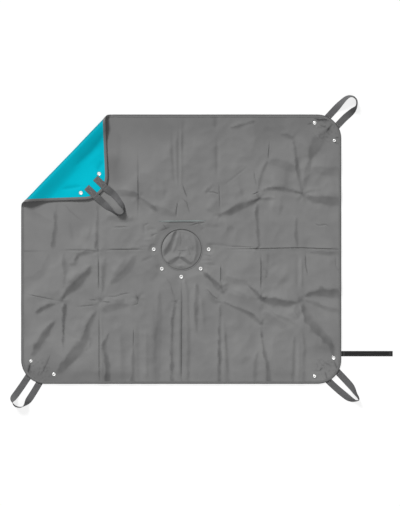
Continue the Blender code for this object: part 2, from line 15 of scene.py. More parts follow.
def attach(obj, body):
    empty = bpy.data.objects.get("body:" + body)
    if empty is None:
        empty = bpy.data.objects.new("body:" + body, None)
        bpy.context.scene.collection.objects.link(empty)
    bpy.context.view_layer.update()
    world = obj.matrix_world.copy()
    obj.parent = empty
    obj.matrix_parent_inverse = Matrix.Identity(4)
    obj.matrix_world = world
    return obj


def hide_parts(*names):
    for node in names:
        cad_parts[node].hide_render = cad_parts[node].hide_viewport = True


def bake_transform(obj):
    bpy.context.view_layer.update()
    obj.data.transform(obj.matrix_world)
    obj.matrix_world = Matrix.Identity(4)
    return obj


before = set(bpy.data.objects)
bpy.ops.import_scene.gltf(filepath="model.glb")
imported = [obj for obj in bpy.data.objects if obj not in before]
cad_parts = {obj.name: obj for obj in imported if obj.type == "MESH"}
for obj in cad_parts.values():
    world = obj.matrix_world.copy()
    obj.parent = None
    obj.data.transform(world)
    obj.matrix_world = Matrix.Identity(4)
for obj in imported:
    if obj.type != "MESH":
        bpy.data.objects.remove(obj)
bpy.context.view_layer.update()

# The room. A pale floor and an even white sky, with one large soft lamp beyond the mat's top
# edge, so that creases across the cloth show a light side and a dark side, and a weak one above.

FLOOR_REACH = 6.0
FLOOR_GLOW = 1.06
FLOOR_GLOW_SHARE = 0.75
SKY_LEVEL = 0.20
LAMPS = {
    "window_lamp": ((-6.4, 10.6, 8.6), 3.6, 2350.0),
    "overhead_lamp": ((0.9, -3.0, 3.4), 2.6, 66.0),
}
CAMERA_PLACE = (0.0705, -0.0143, 4.483)
CAMERA_LENS = 85.0
SENSOR_HEIGHT = 36.0


def grey(level):
    return level, level, level, 1.0


class Wire:
    """A number that varies over a surface, so that shader sums are written as Python sums."""

    def __init__(self, tree, socket):
        self.tree, self.socket = tree, socket

    def do(self, operation, *terms):
        return self.tree.node("Math", {"operation": operation}, dict(enumerate(terms)))

    def __add__(self, other):
        return self.do("ADD", self, other)

    def __radd__(self, other):
        return self.do("ADD", other, self)

    def __sub__(self, other):
        return self.do("SUBTRACT", self, other)

    def __rsub__(self, other):
        return self.do("SUBTRACT", other, self)

    def __mul__(self, other):
        return self.do("MULTIPLY", self, other)

    def __rmul__(self, other):
        return self.do("MULTIPLY", other, self)

    def __truediv__(self, other):
        return self.do("DIVIDE", self, other)

    def __rtruediv__(self, other):
        return self.do("DIVIDE", other, self)

    def __abs__(self):
        return self.do("ABSOLUTE", self)

    def larger(self, other):
        return self.do("MAXIMUM", self, other)

    def clamped(self):
        return self.do("MINIMUM", self, 1.0).larger(0.0)

    def waves(self, pitch):
        """A sine from -1 to 1 that repeats at a pitch."""
        return self.do("SINE", self * (math.tau / pitch))


class Tree:
    """The nodes of a material or of the sky."""

    def __init__(self, node_tree):
        self.nodes, self.links = node_tree.nodes, node_tree.links

    def fill(self, node, sockets):
        for key, value in sockets.items():
            if isinstance(value, Wire):
                self.links.new(value.socket, node.inputs[key])
            else:
                node.inputs[key].default_value = value

    def node(self, kind, settings=None, sockets=None, out=0):
        """A node of a kind, with its settings, then its sockets' values or wires."""
        node = self.nodes.new("ShaderNode" + kind)
        for key, value in (settings or {}).items():
            setattr(node, key, value)
        self.fill(node, sockets or {})
        return Wire(self, node.outputs[out])

    def ray(self, kind):
        """1 for rays of a kind, and 0 for others."""
        return self.node("LightPath", out=f"Is {kind} Ray")


class Finish(Tree):
    """A material that is built up node by node round its Principled shader."""

    def __init__(self, name, **sockets):
        self.material = bpy.data.materials.new(name)
        self.material.use_nodes = True
        super().__init__(self.material.node_tree)
        self.shader = self.nodes["Principled BSDF"]
        self.set(**sockets)

    def set(self, **sockets):
        """Fill sockets of the shader, whose names have _ for a space."""
        self.fill(self.shader, {key.replace("_", " "): value for key, value in sockets.items()})

    def blend(self, first, second, share):
        """A colour between two others."""
        sockets = {0: share, 6: first, 7: second}
        return self.node("Mix", {"data_type": "RGBA"}, sockets, out=2)

    def place(self):
        """The place in the piece's own space."""
        return self.node("TexCoord", out=3)

    def carried(self, name):
        """A number that the piece's mesh carries at each point."""
        return self.node("Attribute", {"attribute_name": name}, out=2)

    def cloud(self, scale, detail=3.0):
        """Soft noise from 0 to 1 over the surface."""
        sockets = {"Vector": self.place(), "Scale": scale, "Detail": detail}
        return self.node("TexNoise", {}, sockets)

    def parts(self, vector):
        """The three numbers of a vector."""
        split = self.node("SeparateXYZ", {}, {0: vector}).socket.node
        return [Wire(self, out) for out in split.outputs]

    def bump(self, height, strength, distance):
        """Small relief that is felt by the light alone."""
        sockets = {"Height": height, "Strength": strength, "Distance": distance}
        self.set(Normal=self.node("Bump", {}, sockets))


bpy.context.scene.view_settings.view_transform = "Standard"

world = bpy.data.worlds.new("pale_sky")
world.use_nodes = True
bpy.context.scene.world = world
sky = Tree(world.node_tree)
seen = sky.ray("Camera").larger(sky.ray("Glossy")).larger(sky.ray("Transmission"))
brightness = sky.node("MapRange", {}, {"Value": seen, "To Min": SKY_LEVEL, "To Max": 1.0})
sky.fill(sky.nodes["Background"], {"Color": grey(1.0), "Strength": brightness})

for name, (place, size, power) in LAMPS.items():
    lamp_data = bpy.data.lights.new(name, "AREA")
    lamp_data.energy, lamp_data.size = power, size
    lamp = bpy.data.objects.new(name, lamp_data)
    lamp.location = place
    lamp.rotation_euler = Vector(place).to_track_quat("Z", "Y").to_euler()
    bpy.context.collection.objects.link(lamp)

camera_data = bpy.data.cameras.new("camera")
camera_data.sensor_fit = "VERTICAL"
camera_data.sensor_height = SENSOR_HEIGHT
camera_data.lens = CAMERA_LENS
camera = bpy.data.objects.new("camera", camera_data)
camera.location = CAMERA_PLACE
bpy.context.collection.objects.link(camera)
bpy.context.scene.camera = camera

floor_mesh = bpy.data.meshes.new("floor")
corners = [(x * FLOOR_REACH, y * FLOOR_REACH, 0) for x, y in ((-1, -1), (1, -1), (1, 1), (-1, 1))]
floor_mesh.from_pydata(corners, [], [(0, 1, 2, 3)])
floor = bpy.data.objects.new("floor", floor_mesh)
bpy.context.collection.objects.link(floor)
paint = Finish("pale_floor", Base_Color=grey(0.93), Roughness=0.9)
glow = paint.node("Emission", {}, {"Color": grey(1.0), "Strength": FLOOR_GLOW})
lit = Wire(paint, paint.shader.outputs[0])
pale = paint.node("MixShader", {}, {0: paint.ray("Camera") * FLOOR_GLOW_SHARE, 1: lit, 2: glow})
paint.fill(paint.nodes["Material Output"], {"Surface": pale})
floor_mesh.materials.append(paint.material)

# The sheet. A grey face cloth of coated polyester over a teal lining, sewn together at the edges.
# The middle of the mat is one stretch of both cloths, and each corner is another, beyond a slanted
# fold line. Long packing creases cross both, with small puckers where two creases meet.

MAT_WIDTH = 1.200
MAT_DEPTH = 1.010
CORNER_RADIUS = 0.090
CLOTH_INSET = 0.0008
CLOTH_THICKNESS = 0.0005
BINDING_CLOTH = 0.0005
WEBBING_THICKNESS = 0.0013
GAP = 0.0003
LINING_LOW = WEBBING_THICKNESS + GAP + BINDING_CLOTH + GAP
LINING_HIGH = LINING_LOW + CLOTH_THICKNESS
FACE_LOW = LINING_HIGH + GAP
FACE_HIGH = FACE_LOW + CLOTH_THICKNESS
MIDDLE = (LINING_LOW + FACE_HIGH) / 2
HOLE_RADIUS = 0.075
HATCH_SNAP_CIRCLE = 0.103
HATCH_SNAP_ANGLES = (180.0, 225.0, 270.0, 315.0, 360.0)

# The fold lines, each given by where it meets the two edges. Each corner's cloth reaches a stretch
# past its fold line, and the turned one runs round a roll.
FOLD_LEG = 0.322
TURNED_LEGS = (0.316, 0.3285)
ROLL_RADIUS = 0.012
ROLL_HALF = math.pi * ROLL_RADIUS / 2
TURNED_TIP_HEIGHT = 0.0055
SPLIT = 0.020

# The picture's scale, and the pixel over the middle of the hole
PIXEL = 0.00375
PICTURE_MIDDLE = (181.2, 249.2)
UP = Vector((0, 0, 1))


def spot(x, y):
    """The plan point under a place in the picture."""
    return (x - PICTURE_MIDDLE[0]) * PIXEL, (PICTURE_MIDDLE[1] - y) * PIXEL


class Corner:
    """A corner of the mat: its outline, its fold, and where its handle and its snaps go.

    legs are where the fold line meets the edges, and angle is the way the handle points. snaps
    gives how far the pair of snaps lies back from the edge and aside. loop_shares are places on
    the handle's loop: shares of its reach and of its half width, and how far it stands on edge.
    """

    def __init__(self, name, side, end, legs, angle, snaps, loop_shares, turned=False):
        self.name, self.side, self.end = name, side, end
        self.across, self.down = legs
        self.snaps, self.loop_shares, self.turned = snaps, loop_shares, turned
        self.body = f"corner_{name}"
        self.depth = 1 / math.hypot(1 / self.across, 1 / self.down)
        self.outward = Vector((side / self.across, end / self.down, 0)).normalized()
        self.hinge = self.outward.cross(UP)
        self.fold_at = Vector((*self.plan(self.across / 2, self.down / 2), MIDDLE + ROLL_RADIUS))
        self.turn = 0.0
        if turned:
            share = 1 - CORNER_RADIUS / self.across - CORNER_RADIUS / self.down
            tip = share * self.depth + CORNER_RADIUS
            self.turn = math.pi + math.asin((2 * ROLL_RADIUS - TURNED_TIP_HEIGHT) / tip)
        angle = math.radians(angle)
        self.out = Vector((side * math.cos(angle), end * math.sin(angle), 0))
        self.over = self.out.cross(UP)
        middle = Vector((*self.plan(CORNER_RADIUS, CORNER_RADIUS), 0))
        self.edge = middle + CORNER_RADIUS * self.out

    def plan(self, inward_x, inward_y):
        """The plan point at these distances in from the two edges."""
        return self.side * (MAT_WIDTH / 2 - inward_x), self.end * (MAT_DEPTH / 2 - inward_y)

    def near(self, outward, across):
        """The plan point at these distances from the handle's place on the edge."""
        point = self.edge + outward * self.out + across * self.over
        return point.x, point.y

    def band(self, inset, steps=28):
        """The outline at an inset, from one end of the corner's stretch round to the other."""
        share = 1 + SPLIT / self.depth
        radius = CORNER_RADIUS - inset
        first = (self.across * (share - inset / self.down), inset)
        last = (inset, self.down * (share - inset / self.across))
        turns = [math.pi / 2 * i / steps for i in range(steps + 1)]
        bend = [(radius * math.sin(t), radius * math.cos(t)) for t in turns]
        round_it = [(CORNER_RADIUS - a, CORNER_RADIUS - b) for a, b in bend]
        return [self.plan(*p) for p in (first, *round_it, last)]

    def outside(self, x, y):
        """How far a plan point lies outside the fold line."""
        return (x - self.fold_at.x) * self.outward.x + (y - self.fold_at.y) * self.outward.y

    def place(self, points):
        """Where points of the flat mat are at rest, with this corner flat or turned over.

        Before the roll the cloth stays flat, beyond it the cloth is turned about the fold line,
        and between the two it runs round an arch that joins them.
        """
        if not self.turned:
            return points
        rel = points - np.array(self.fold_at)
        along, far = rel @ np.array(self.hinge), rel @ np.array(self.outward)
        high = rel[:, 2]
        c, s = math.cos(self.turn), math.sin(self.turn)
        new_far, new_high = far * c - high * s, far * s + high * c
        low = np.array((-ROLL_HALF, -ROLL_RADIUS))
        top = np.array((ROLL_HALF * c + ROLL_RADIUS * s, ROLL_HALF * s - ROLL_RADIUS * c))
        centre, half = (low + top) / 2, (top - low) / 2
        length = np.hypot(*half)
        rise = half / length
        bulge = np.array((rise[1], -rise[0]))
        turn = np.clip((far / ROLL_HALF + 1) * math.pi / 2, 0, math.pi)[:, None]
        path = centre - half * np.cos(turn) + bulge * ROLL_RADIUS * np.sin(turn)
        normal = bulge * length * np.sin(turn) - rise * ROLL_RADIUS * np.cos(turn)
        normal /= np.linalg.norm(normal, axis=1)[:, None]
        rolled = path - normal * (high + ROLL_RADIUS)[:, None]
        in_roll, flat = np.abs(far) < ROLL_HALF, far <= -ROLL_HALF
        new_far = np.where(flat, far, np.where(in_roll, rolled[:, 0], new_far))
        new_high = np.where(flat, high, np.where(in_roll, rolled[:, 1], new_high))
        moved = np.outer(along, self.hinge) + np.outer(new_far, self.outward)
        return moved + np.outer(new_high, UP) + np.array(self.fold_at)

    def hold(self, piece):
        """Bake a piece's place into its mesh."""
        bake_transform(piece)


TOP_LEFT = Corner(
    name="top_left",
    side=-1,
    end=1,
    legs=TURNED_LEGS,
    angle=44.0,
    snaps=(0.053, -0.0045),
    loop_shares=(
        (0.00, -1.00, 0.00), (0.28, -1.12, 0.00), (0.55, -1.10, 0.20), (0.80, -0.88, 0.60),
        (0.955, -0.45, 0.80), (0.99, 0.10, 0.82), (0.93, 0.60, 0.80), (0.78, 0.90, 0.72),
        (0.55, 0.98, 0.40), (0.28, 1.00, 0.00), (0.00, 1.00, 0.00),
    ),
    turned=True,
)
TOP_RIGHT = Corner(
    name="top_right",
    side=1,
    end=1,
    legs=(FOLD_LEG, FOLD_LEG),
    angle=48.0,
    snaps=(0.053, 0.003),
    loop_shares=(
        (0.00, -1.00, 0.00), (0.30, -0.98, 0.05), (0.58, -0.97, 0.40), (0.80, -0.88, 0.60),
        (0.93, -0.56, 0.74), (0.985, 0.00, 0.76), (0.955, 0.64, 0.78), (0.80, 1.20, 0.76),
        (0.60, 1.22, 0.30), (0.30, 1.05, 0.00), (0.00, 1.00, 0.00),
    ),
)
BOTTOM_RIGHT = Corner(
    name="bottom_right",
    side=1,
    end=-1,
    legs=(FOLD_LEG, FOLD_LEG),
    angle=46.0,
    snaps=(0.053, 0.0),
    loop_shares=(
        (0.00, -1.00, 0.00), (0.32, -0.98, 0.00), (0.60, -0.92, 0.25), (0.84, -0.65, 0.65),
        (1.00, -0.50, 0.80), (1.06, -0.28, 0.82), (1.01, 0.12, 0.78), (0.90, 0.45, 0.50),
        (0.75, 0.66, 0.20), (0.50, 0.82, 0.00), (0.28, 0.92, 0.00), (0.00, 1.00, 0.00),
    ),
)
BOTTOM_LEFT = Corner(
    name="bottom_left",
    side=-1,
    end=-1,
    legs=(FOLD_LEG, FOLD_LEG),
    angle=60.0,
    snaps=(0.060, -0.0055),
    loop_shares=(
        (0.00, -1.00, 0.00), (0.30, -0.98, 0.00), (0.56, -0.92, 0.15), (0.76, -0.85, 0.75),
        (0.90, -0.50, 1.00), (0.97, 0.30, 1.00), (0.92, 1.05, 0.85), (0.80, 1.32, 0.25),
        (0.58, 1.22, 0.00), (0.30, 1.10, 0.00), (0.00, 1.00, 0.00),
    ),
)
CORNERS = (TOP_LEFT, TOP_RIGHT, BOTTOM_RIGHT, BOTTOM_LEFT)

# Sharp packing folds as (depth in mm, half width in picture pixels, painted shade, places in the
# picture). They are pressed in, and the lattice of the cloth follows them.
FOLDS = (
    (1.4, 0.8, 0.38, (137.5, 146), (138.5, 195), (138, 222)),
    (1.2, 0.8, 0.36, (-30, 252), (53, 250.8)),
    (0.8, 0.7, 0.26, (56, 250), (98, 250.5)),
    (1.4, 1.0, 0.38, (100, 250), (140, 249.5), (151, 248.5)),
    (1.4, 0.8, 0.34, (212, 248.5), (225, 249.3), (262, 248.8), (300, 248), (390, 251.5)),
    (0.9, 0.7, 0.12, (224, 246.5), (260, 247.5)),
    (1.3, 0.8, 0.38, (98.7, 251), (98.9, 296)),
    (1.2, 0.8, 0.32, (99.3, 304), (99.5, 400)),
    (1.4, 0.9, 0.42, (181, 270), (182, 300), (181.6, 400)),
    (1.2, 0.8, 0.20, (134, 326), (133.5, 350)),
    (1.4, 0.8, 0.30, (221, 262), (221, 286)),
    (1.5, 0.8, 0.34, (261, 250), (261.3, 266), (261, 296)),
    (1.2, 0.8, 0.36, (305.5, 251), (306, 266), (308.5, 278)),
    (0.9, 0.7, 0.14, (335.5, 254), (336, 266), (341, 276)),
    (1.0, 0.7, 0.14, (219, 180), (220.4, 212)),
    (1.1, 0.7, 0.28, (269.8, 139), (269, 150), (268.4, 161)),
    (0.8, 0.7, 0.14, (254, 168), (255, 178), (257.5, 189)),
    (1.0, 0.7, 0.20, (206, 192), (214, 192.5), (221, 195)),
    (1.3, 0.8, 0.30, (157, 223.2), (206, 222.8)),
    (0.8, 0.7, 0.18, (312, 222), (318, 225.5), (326, 225), (331, 228)),
    (1.2, 0.8, 0.28, (178.6, 200), (177, 208), (176, 219)),
    (1.3, 0.8, 0.28, (182.5, 183), (185, 192), (188.5, 200)),
    (1.2, 0.8, 0.24, (181, 197.5), (187, 203), (190.5, 215)),
    (1.2, 0.8, 0.24, (187, 226.5), (196, 224), (208, 222)),
    (0.6, 0.9, 0.06, (251, 164), (240, 173), (222, 187)),
    (1.1, 0.8, 0.20, (60, 204), (66, 206), (71, 212), (84, 222.5)),
    (1.0, 0.8, 0.20, (111, 227.5), (131, 227)),
    (1.1, 0.7, 0.20, (23, 293), (30, 295), (46, 298.5), (59, 301)),
    (0.9, 0.9, 0.20, (103, 297), (116, 296.5), (122, 294.5), (134, 292.5)),
    (1.0, 0.7, 0.20, (136, 293), (138.5, 300), (138, 304), (131, 306)),
    (1.0, 0.7, 0.22, (102, 302), (112, 302.5)),
    (0.8, 0.9, 0.20, (74, 307), (88, 306), (100, 304.5)),
    (1.0, 0.7, 0.18, (88, 300), (98, 300.5)),
    (1.0, 0.9, 0.50, (51.5, 352), (47, 363), (41, 376)),
    (1.4, 1.1, 1.10, (30.8, 362), (27.6, 374)),
    (1.0, 0.9, 0.70, (333.5, 360), (338.5, 372)),
    (0.8, 0.8, 0.60, (318.6, 371.4), (323.4, 366.8)),
    (0.8, 0.8, 0.60, (325, 371), (327.4, 381)),
    (0.8, 0.8, 0.45, (325.6, 362.6), (331.4, 366.2)),
    (1.1, 0.7, 0.30, (252, 195), (260, 191.5)),
    (1.0, 0.7, 0.22, (206, 288), (213, 296), (221, 302)),
    (0.8, 1.0, 0.16, (164, 275), (171, 285), (176, 302)),
    (1.0, 0.7, 0.40, (159, 231.5), (165, 229), (171, 227)),
    (0.9, 0.7, 0.40, (163, 224), (167, 230)),
    (0.8, 0.7, 0.25, (150, 237), (158, 233)),
    (0.8, 0.7, 0.25, (144, 226), (149, 223)),
    (0.8, 0.7, 0.25, (203, 254), (212, 257)),
    (1.0, 1.0, 0.90, (312, 117.6), (319, 120), (331, 119.4)),
    (1.2, 1.0, 0.60, (333, 123), (325.6, 133)),
    (0.8, 0.9, 0.60, (334, 138), (341, 137.2)),
    (0.8, 0.9, 0.45, (333.6, 142.4), (340, 144)),
    (0.8, 0.8, 0.45, (306.6, 124.6), (313, 123)),
    (0.8, 0.8, 0.45, (319, 125), (327.4, 128)),
)

# Soft creases in the same terms. A rise below zero is a valley.
CREASES = (
    (-1.4, 4.0, 0.10, (118, 126), (119, 155), (113, 177)),
    (-1.6, 1.6, 0.14, (171, 122), (172.5, 150), (174, 175), (176.5, 194)),
    (-1.8, 1.4, 0.18, (178.5, 116), (178.5, 160), (179, 197)),
    (1.6, 1.2, 0.0, (180.8, 116), (181, 196)),
    (-1.6, 2.6, 0.12, (183, 114), (183, 156)),
    (-1.6, 2.4, 0.20, (215.5, 112), (215.5, 131)),
    (-1.6, 1.8, 0.18, (217, 136), (217, 181)),
    (2.4, 6.0, 0.0, (150, 190), (168, 190)),
    (2.2, 5.0, 0.0, (218, 199), (206, 211)),
    (2.4, 7.0, 0.0, (228, 194), (244, 190)),
    (2.6, 8.0, 0.0, (268, 178), (290, 180)),
    (2.2, 7.0, 0.0, (268, 206), (284, 208)),
    (-1.4, 5.0, 0.10, (226, 230), (236, 229)),
    (-1.4, 2.4, 0.12, (69, 219), (71, 231), (74, 245)),
    (2.2, 6.0, 0.0, (80, 230), (92, 233)),
    (1.8, 1.2, 0.0, (101.2, 254), (101.2, 294)),
    (1.6, 1.2, 0.0, (101.6, 306), (101.8, 400)),
    (2.4, 4.0, 0.0, (126, 257), (117, 268), (111, 278)),
    (2.4, 4.0, 0.0, (79, 271), (68, 283)),
    (2.0, 3.0, 0.0, (126, 299), (112, 299.5)),
    (2.0, 5.0, 0.0, (80, 318), (72, 340)),
    (2.0, 4.0, 0.0, (120, 330), (121, 400)),
    (1.8, 1.6, 0.0, (178.8, 286), (178.8, 400)),
    (-1.6, 3.4, 0.16, (153, 292), (156, 330), (153, 400)),
    (-1.4, 2.6, 0.12, (138.5, 318), (139, 400)),
    (1.8, 2.4, 0.0, (146, 322), (146, 400)),
    (1.6, 2.0, 0.0, (223.5, 310), (224, 400)),
    (2.2, 2.0, 0.0, (266, 306), (276, 313), (290, 319), (300, 328)),
    (2.0, 3.0, 0.0, (232, 288), (246, 294), (256, 300)),
    (1.8, 2.0, 0.0, (299, 334), (298, 400)),
    (1.8, 1.2, 0.0, (301.4, 253), (301.2, 294)),
    (-1.6, 1.8, 0.14, (297, 253), (297.5, 292)),
    (-1.2, 1.6, 0.14, (268.6, 251), (268.6, 268)),
    (-1.0, 1.0, 0.20, (200, 260), (214, 260)),
    (-1.0, 1.0, 0.20, (201, 263.5), (218, 265)),
    (-1.0, 1.2, 0.20, (199, 230), (205, 228)),
    (-1.2, 2.4, 0.16, (204, 226), (222, 227)),
    (-1.0, 1.0, 0.20, (200, 243), (222, 245), (238, 247)),
    (-1.0, 1.2, 0.16, (144, 222), (144, 236)),
    (-1.0, 1.2, 0.18, (146, 232), (150, 229), (158, 229)),
    (-1.0, 1.0, 0.18, (138, 247), (150, 246.5)),
    (1.0, 1.2, 0.0, (142, 240), (156, 239)),
    (-1.0, 1.2, 0.16, (152, 232), (153, 242)),
    (-1.2, 1.4, 0.16, (140, 262), (154, 256)),
    (-1.2, 3.0, 0.10, (150, 284), (160, 272)),
    (2.0, 2.4, 0.0, (192, 278), (201, 300), (204, 330)),
    (1.6, 2.0, 0.0, (305, 192), (311, 189.5), (322, 189)),
    # Broad, shallow dips next, which darken the cloth along the top, the left and the bottom, and
    # by the hatch
    (-0.6, 26.0, 0.24, (-30, 128), (480, 116)),
    (-0.6, 12.0, 0.24, (110, 150), (118, 190)),
    (-0.6, 12.0, 0.26, (-30, 374), (150, 378)),
    (-0.6, 9.0, 0.18, (18, 310), (24, 345)),
    (-0.6, 12.0, 0.14, (150, 230), (214, 226)),
    (2.4, 7.0, 0.0, (116, 318), (122, 360)),
    (2.0, 7.0, 0.0, (270, 266), (288, 282)),
    (2.0, 7.0, 0.0, (238, 330), (242, 368)),
)

# Slanting faces between folds, as (slope, painted shade, places), where a place is (x, y, half
# width). Each falls away from the lamp between two crisp edges and is painted darker, as shade.
SLOPES = (
    (0.22, 0.40, (60, 301, 0.6), (66, 294, 2.2), (73, 288, 4.4), (79, 282, 4.0), (88, 272, 2.8),
     (92, 264, 1)),
    (0.26, 0.75, (65.5, 301, 2.0), (65, 310, 2.3), (63.8, 325, 1.5), (63.4, 340, 1.0),
     (64, 354, 0.6)),
    (0.22, 0.45, (35, 314, 0.7), (42, 309, 2.4), (50, 305.5, 1.6), (61, 302.5, 0.8)),
    (0.22, 0.45, (56, 320, 0.8), (48, 330, 2.6), (42, 340, 3.4), (37, 349, 3.2), (32, 358, 1.6)),
    (0.20, 0.42, (98, 309, 0.8), (91, 320, 2.4), (87, 331, 3.2), (84, 343, 4.2), (77, 352, 5.0),
     (68, 362, 4.6), (60, 370, 3.2), (54, 376, 1)),
    (0.14, 0.20, (92, 337, 0.6), (90, 346, 1.2), (86, 351, 0.8)),
    (0.22, 0.56, (110, 330, 0.7), (107, 338, 1.4), (104, 345, 1.6), (105.6, 353, 2.0),
     (107.4, 363, 2.6), (108.2, 374, 3.0), (108.6, 410, 3.2)),
    (0.18, 0.36, (133.5, 345, 0.8), (133.4, 360, 1.5), (133, 410, 1.8)),
    (0.16, 0.22, (106, 256, 1.4), (104.6, 272, 1.8), (103.6, 286, 1.5), (101.4, 298, 0.6)),
    (0.14, 0.14, (102, 313, 1.5), (108, 309, 3.6), (118, 306, 3.4), (131, 305, 1)),
    (0.16, 0.18, (22, 281, 2), (34, 278, 3.2), (43, 272, 3.0), (48, 263, 2.4), (50, 252, 1)),
    (0.18, 0.26, (63.6, 252, 0.8), (64.4, 262, 1.8), (66, 271, 2.2), (64.6, 282, 1.0),
     (63, 290, 0.5)),
    (0.16, 0.22, (69, 265, 0.8), (75, 264, 2.0), (78.5, 256, 1.2)),
    (0.16, 0.16, (109, 285, 0.8), (119, 278, 3.0), (128, 270, 3.8), (133, 261, 2.6), (136, 254, 1)),
    (0.24, 0.62, (199, 268, 0.8), (207, 276, 1.6), (214, 282.5, 2.2), (220, 289, 2.8),
     (224, 295, 1)),
    (0.16, 0.22, (205, 288, 0.8), (211, 297, 2.6), (216, 302, 2.2), (222, 302, 0.6)),
    (0.24, 0.50, (221, 301.5, 0.6), (232, 306, 1.2), (240, 309.8, 1.6), (247, 313, 1.8),
     (254, 317, 2.2), (261, 325, 1.4)),
    (0.10, 0.10, (224, 294, 2), (240, 302, 6), (252, 308, 6), (261, 313, 3)),
    (0.12, 0.12, (224, 277, 1.5), (234, 281, 3.0), (246, 282.5, 2.6), (252, 287, 1)),
    (0.22, 0.42, (246, 283, 0.8), (254, 291, 1.8), (260, 297, 2.2), (264, 301, 2)),
    (0.24, 0.50, (260, 298, 1.2), (270, 301.5, 3.4), (280, 302.6, 3.8), (288, 304, 3.4),
     (295, 303, 2.0), (302, 301, 0.8)),
    (0.14, 0.14, (262, 312, 1.5), (274, 321, 4.2), (286, 328, 1.5)),
    (0.24, 0.55, (301, 300, 0.8), (304, 311, 3.0), (309, 320, 4.0), (316, 328, 4.4),
     (323, 335, 4.4), (329, 342, 3.8), (333, 350, 2.2), (334, 359, 0.8)),
    (0.16, 0.26, (297, 304, 2.0), (297, 311, 3.6), (299, 318, 1.5)),
    (0.24, 0.42, (302, 297.5, 0.6), (312, 294, 2.6), (322, 293, 3.8), (332, 293.6, 4.4),
     (356, 295, 4.8)),
    (0.18, 0.26, (303, 300, 0.6), (312, 302.4, 1.6), (320, 306, 2.0), (330, 310, 2.2),
     (356, 313, 1.8)),
    (0.22, 0.52, (220.6, 300, 0.7), (219.7, 330, 1.2), (220, 358, 1.8), (219, 410, 2.6)),
    (0.16, 0.22, (225.4, 326, 0.6), (226.4, 345, 1.3), (227.6, 365, 1.8), (229.4, 410, 1.8)),
    (0.22, 0.52, (261, 326, 0.6), (262.4, 340, 0.9), (264, 350, 1.4), (267, 362, 2.0),
     (268.6, 374, 2.6), (268, 410, 2.6)),
    (0.14, 0.18, (259, 349, 0.6), (256, 360, 1.6), (254, 410, 2.8)),
    (0.16, 0.20, (295, 333, 0.6), (294, 350, 1.5), (293.4, 366, 1.6), (292, 410, 2.0)),
    (0.16, 0.20, (303, 328, 0.6), (304.6, 350, 1.5), (304, 410, 1.6)),
    (0.16, 0.30, (262, 267, 0.5), (267, 270, 1.2), (266, 278, 0.8)),
    (0.20, 0.30, (197.4, 281, 0.8), (197, 298, 2.0), (196, 316, 2.2), (197.6, 334, 0.8)),
    (0.22, 0.36, (112, 193, 2.4), (125, 193, 2.8), (133, 194, 2.0), (139, 195.4, 0.8)),
    (0.20, 0.30, (138, 197, 0.6), (146, 203, 1.5), (153, 207.6, 1.7), (158, 212, 0.7)),
    (0.16, 0.24, (204, 194, 0.6), (209, 189.5, 1.6), (214, 184, 0.6)),
    (0.20, 0.30, (229, 128.5, 0.6), (237, 126.8, 1.6), (245, 124.4, 1.3), (256, 121, 0.8)),
    (0.18, 0.20, (268.4, 160, 0.7), (262.4, 172, 1.5), (259.8, 182, 1.5), (258.6, 191, 0.8)),
    (0.12, 0.14, (268, 161, 2), (278, 162.6, 3.8), (288, 168, 4.0), (298, 170, 3.4)),
    (0.16, 0.24, (280, 134.4, 0.8), (287, 136, 2.4), (294, 139, 1.8)),
    (0.20, 0.38, (293.4, 138, 1.2), (295.4, 151, 1.6), (296.8, 163, 2.0), (299.4, 179, 1.6),
     (302.6, 193, 0.7)),
    (0.12, 0.16, (311, 156, 1.2), (308.6, 168, 3.0), (304.8, 184, 2.0), (303, 194, 0.7)),
    (0.18, 0.28, (331, 126, 1.6), (326, 134, 3.4), (320, 141, 5.6), (313.4, 149, 5.6),
     (309, 160, 1.8)),
    (0.14, 0.14, (310, 168, 2), (322, 171, 4.5), (345, 173, 4.5)),
    (0.24, 0.50, (259.6, 191.6, 0.5), (268, 189.4, 1.2), (277, 188.6, 2.2), (284, 189.6, 2.4),
     (291, 191, 1.8), (298, 192.6, 1.2), (304, 194.4, 0.8)),
    (0.22, 0.32, (304, 196, 0.7), (314, 199.6, 3.2), (322, 200.4, 3.8), (332, 201.4, 4.4),
     (356, 203, 4.8)),
    (0.20, 0.34, (257, 198.4, 0.7), (266, 199, 1.5), (276, 199.4, 0.7)),
    (0.24, 0.48, (262, 198, 0.8), (254, 201.6, 2.2), (246, 205, 3.0), (238, 208.4, 3.4),
     (230, 212.4, 2.6), (220, 216, 0.8)),
    (0.20, 0.42, (258.4, 202, 0.8), (256.8, 213, 1.4), (257.6, 226, 1.5), (258.4, 240, 1.6),
     (259.4, 249, 1)),
    (0.18, 0.24, (296.6, 216, 0.8), (296, 234, 1.5), (298, 249, 1)),
    (0.16, 0.22, (304, 251.8, 0.8), (320, 253, 1.9), (356, 254.4, 2.2)),
    (0.22, 0.46, (57.6, 202, 1.2), (56, 213, 1.6), (55.4, 229, 1.8), (54, 240, 1.8),
     (52.4, 251, 1.6)),
    (0.22, 0.48, (98, 203, 1.2), (97.6, 228, 1.4), (96.6, 251, 1.5)),
    (0.16, 0.28, (74, 262, 0.8), (78.6, 255, 1.6), (86, 252.6, 2.0), (98, 251, 0.9)),
    (0.12, 0.12, (24, 208, 3), (38, 218, 5), (52, 224, 3)),
    (0.12, 0.12, (106, 217, 2), (118, 219, 3), (134, 220, 2)),
    (0.12, 0.12, (150, 206, 1), (162, 211, 4), (176, 216, 1.5)),
    (0.16, 0.20, (184, 268, 0.5), (188, 290, 1.4), (189, 330, 1.6), (188, 410, 1.4)),
    (0.20, 0.46, (176, 300, 0.6), (172.6, 320, 1.2), (172, 345, 1.6), (172.4, 410, 1.8)),
    (0.14, 0.16, (160, 286, 0.8), (160, 310, 2.6), (158, 340, 3.2), (157, 410, 3.0)),
)

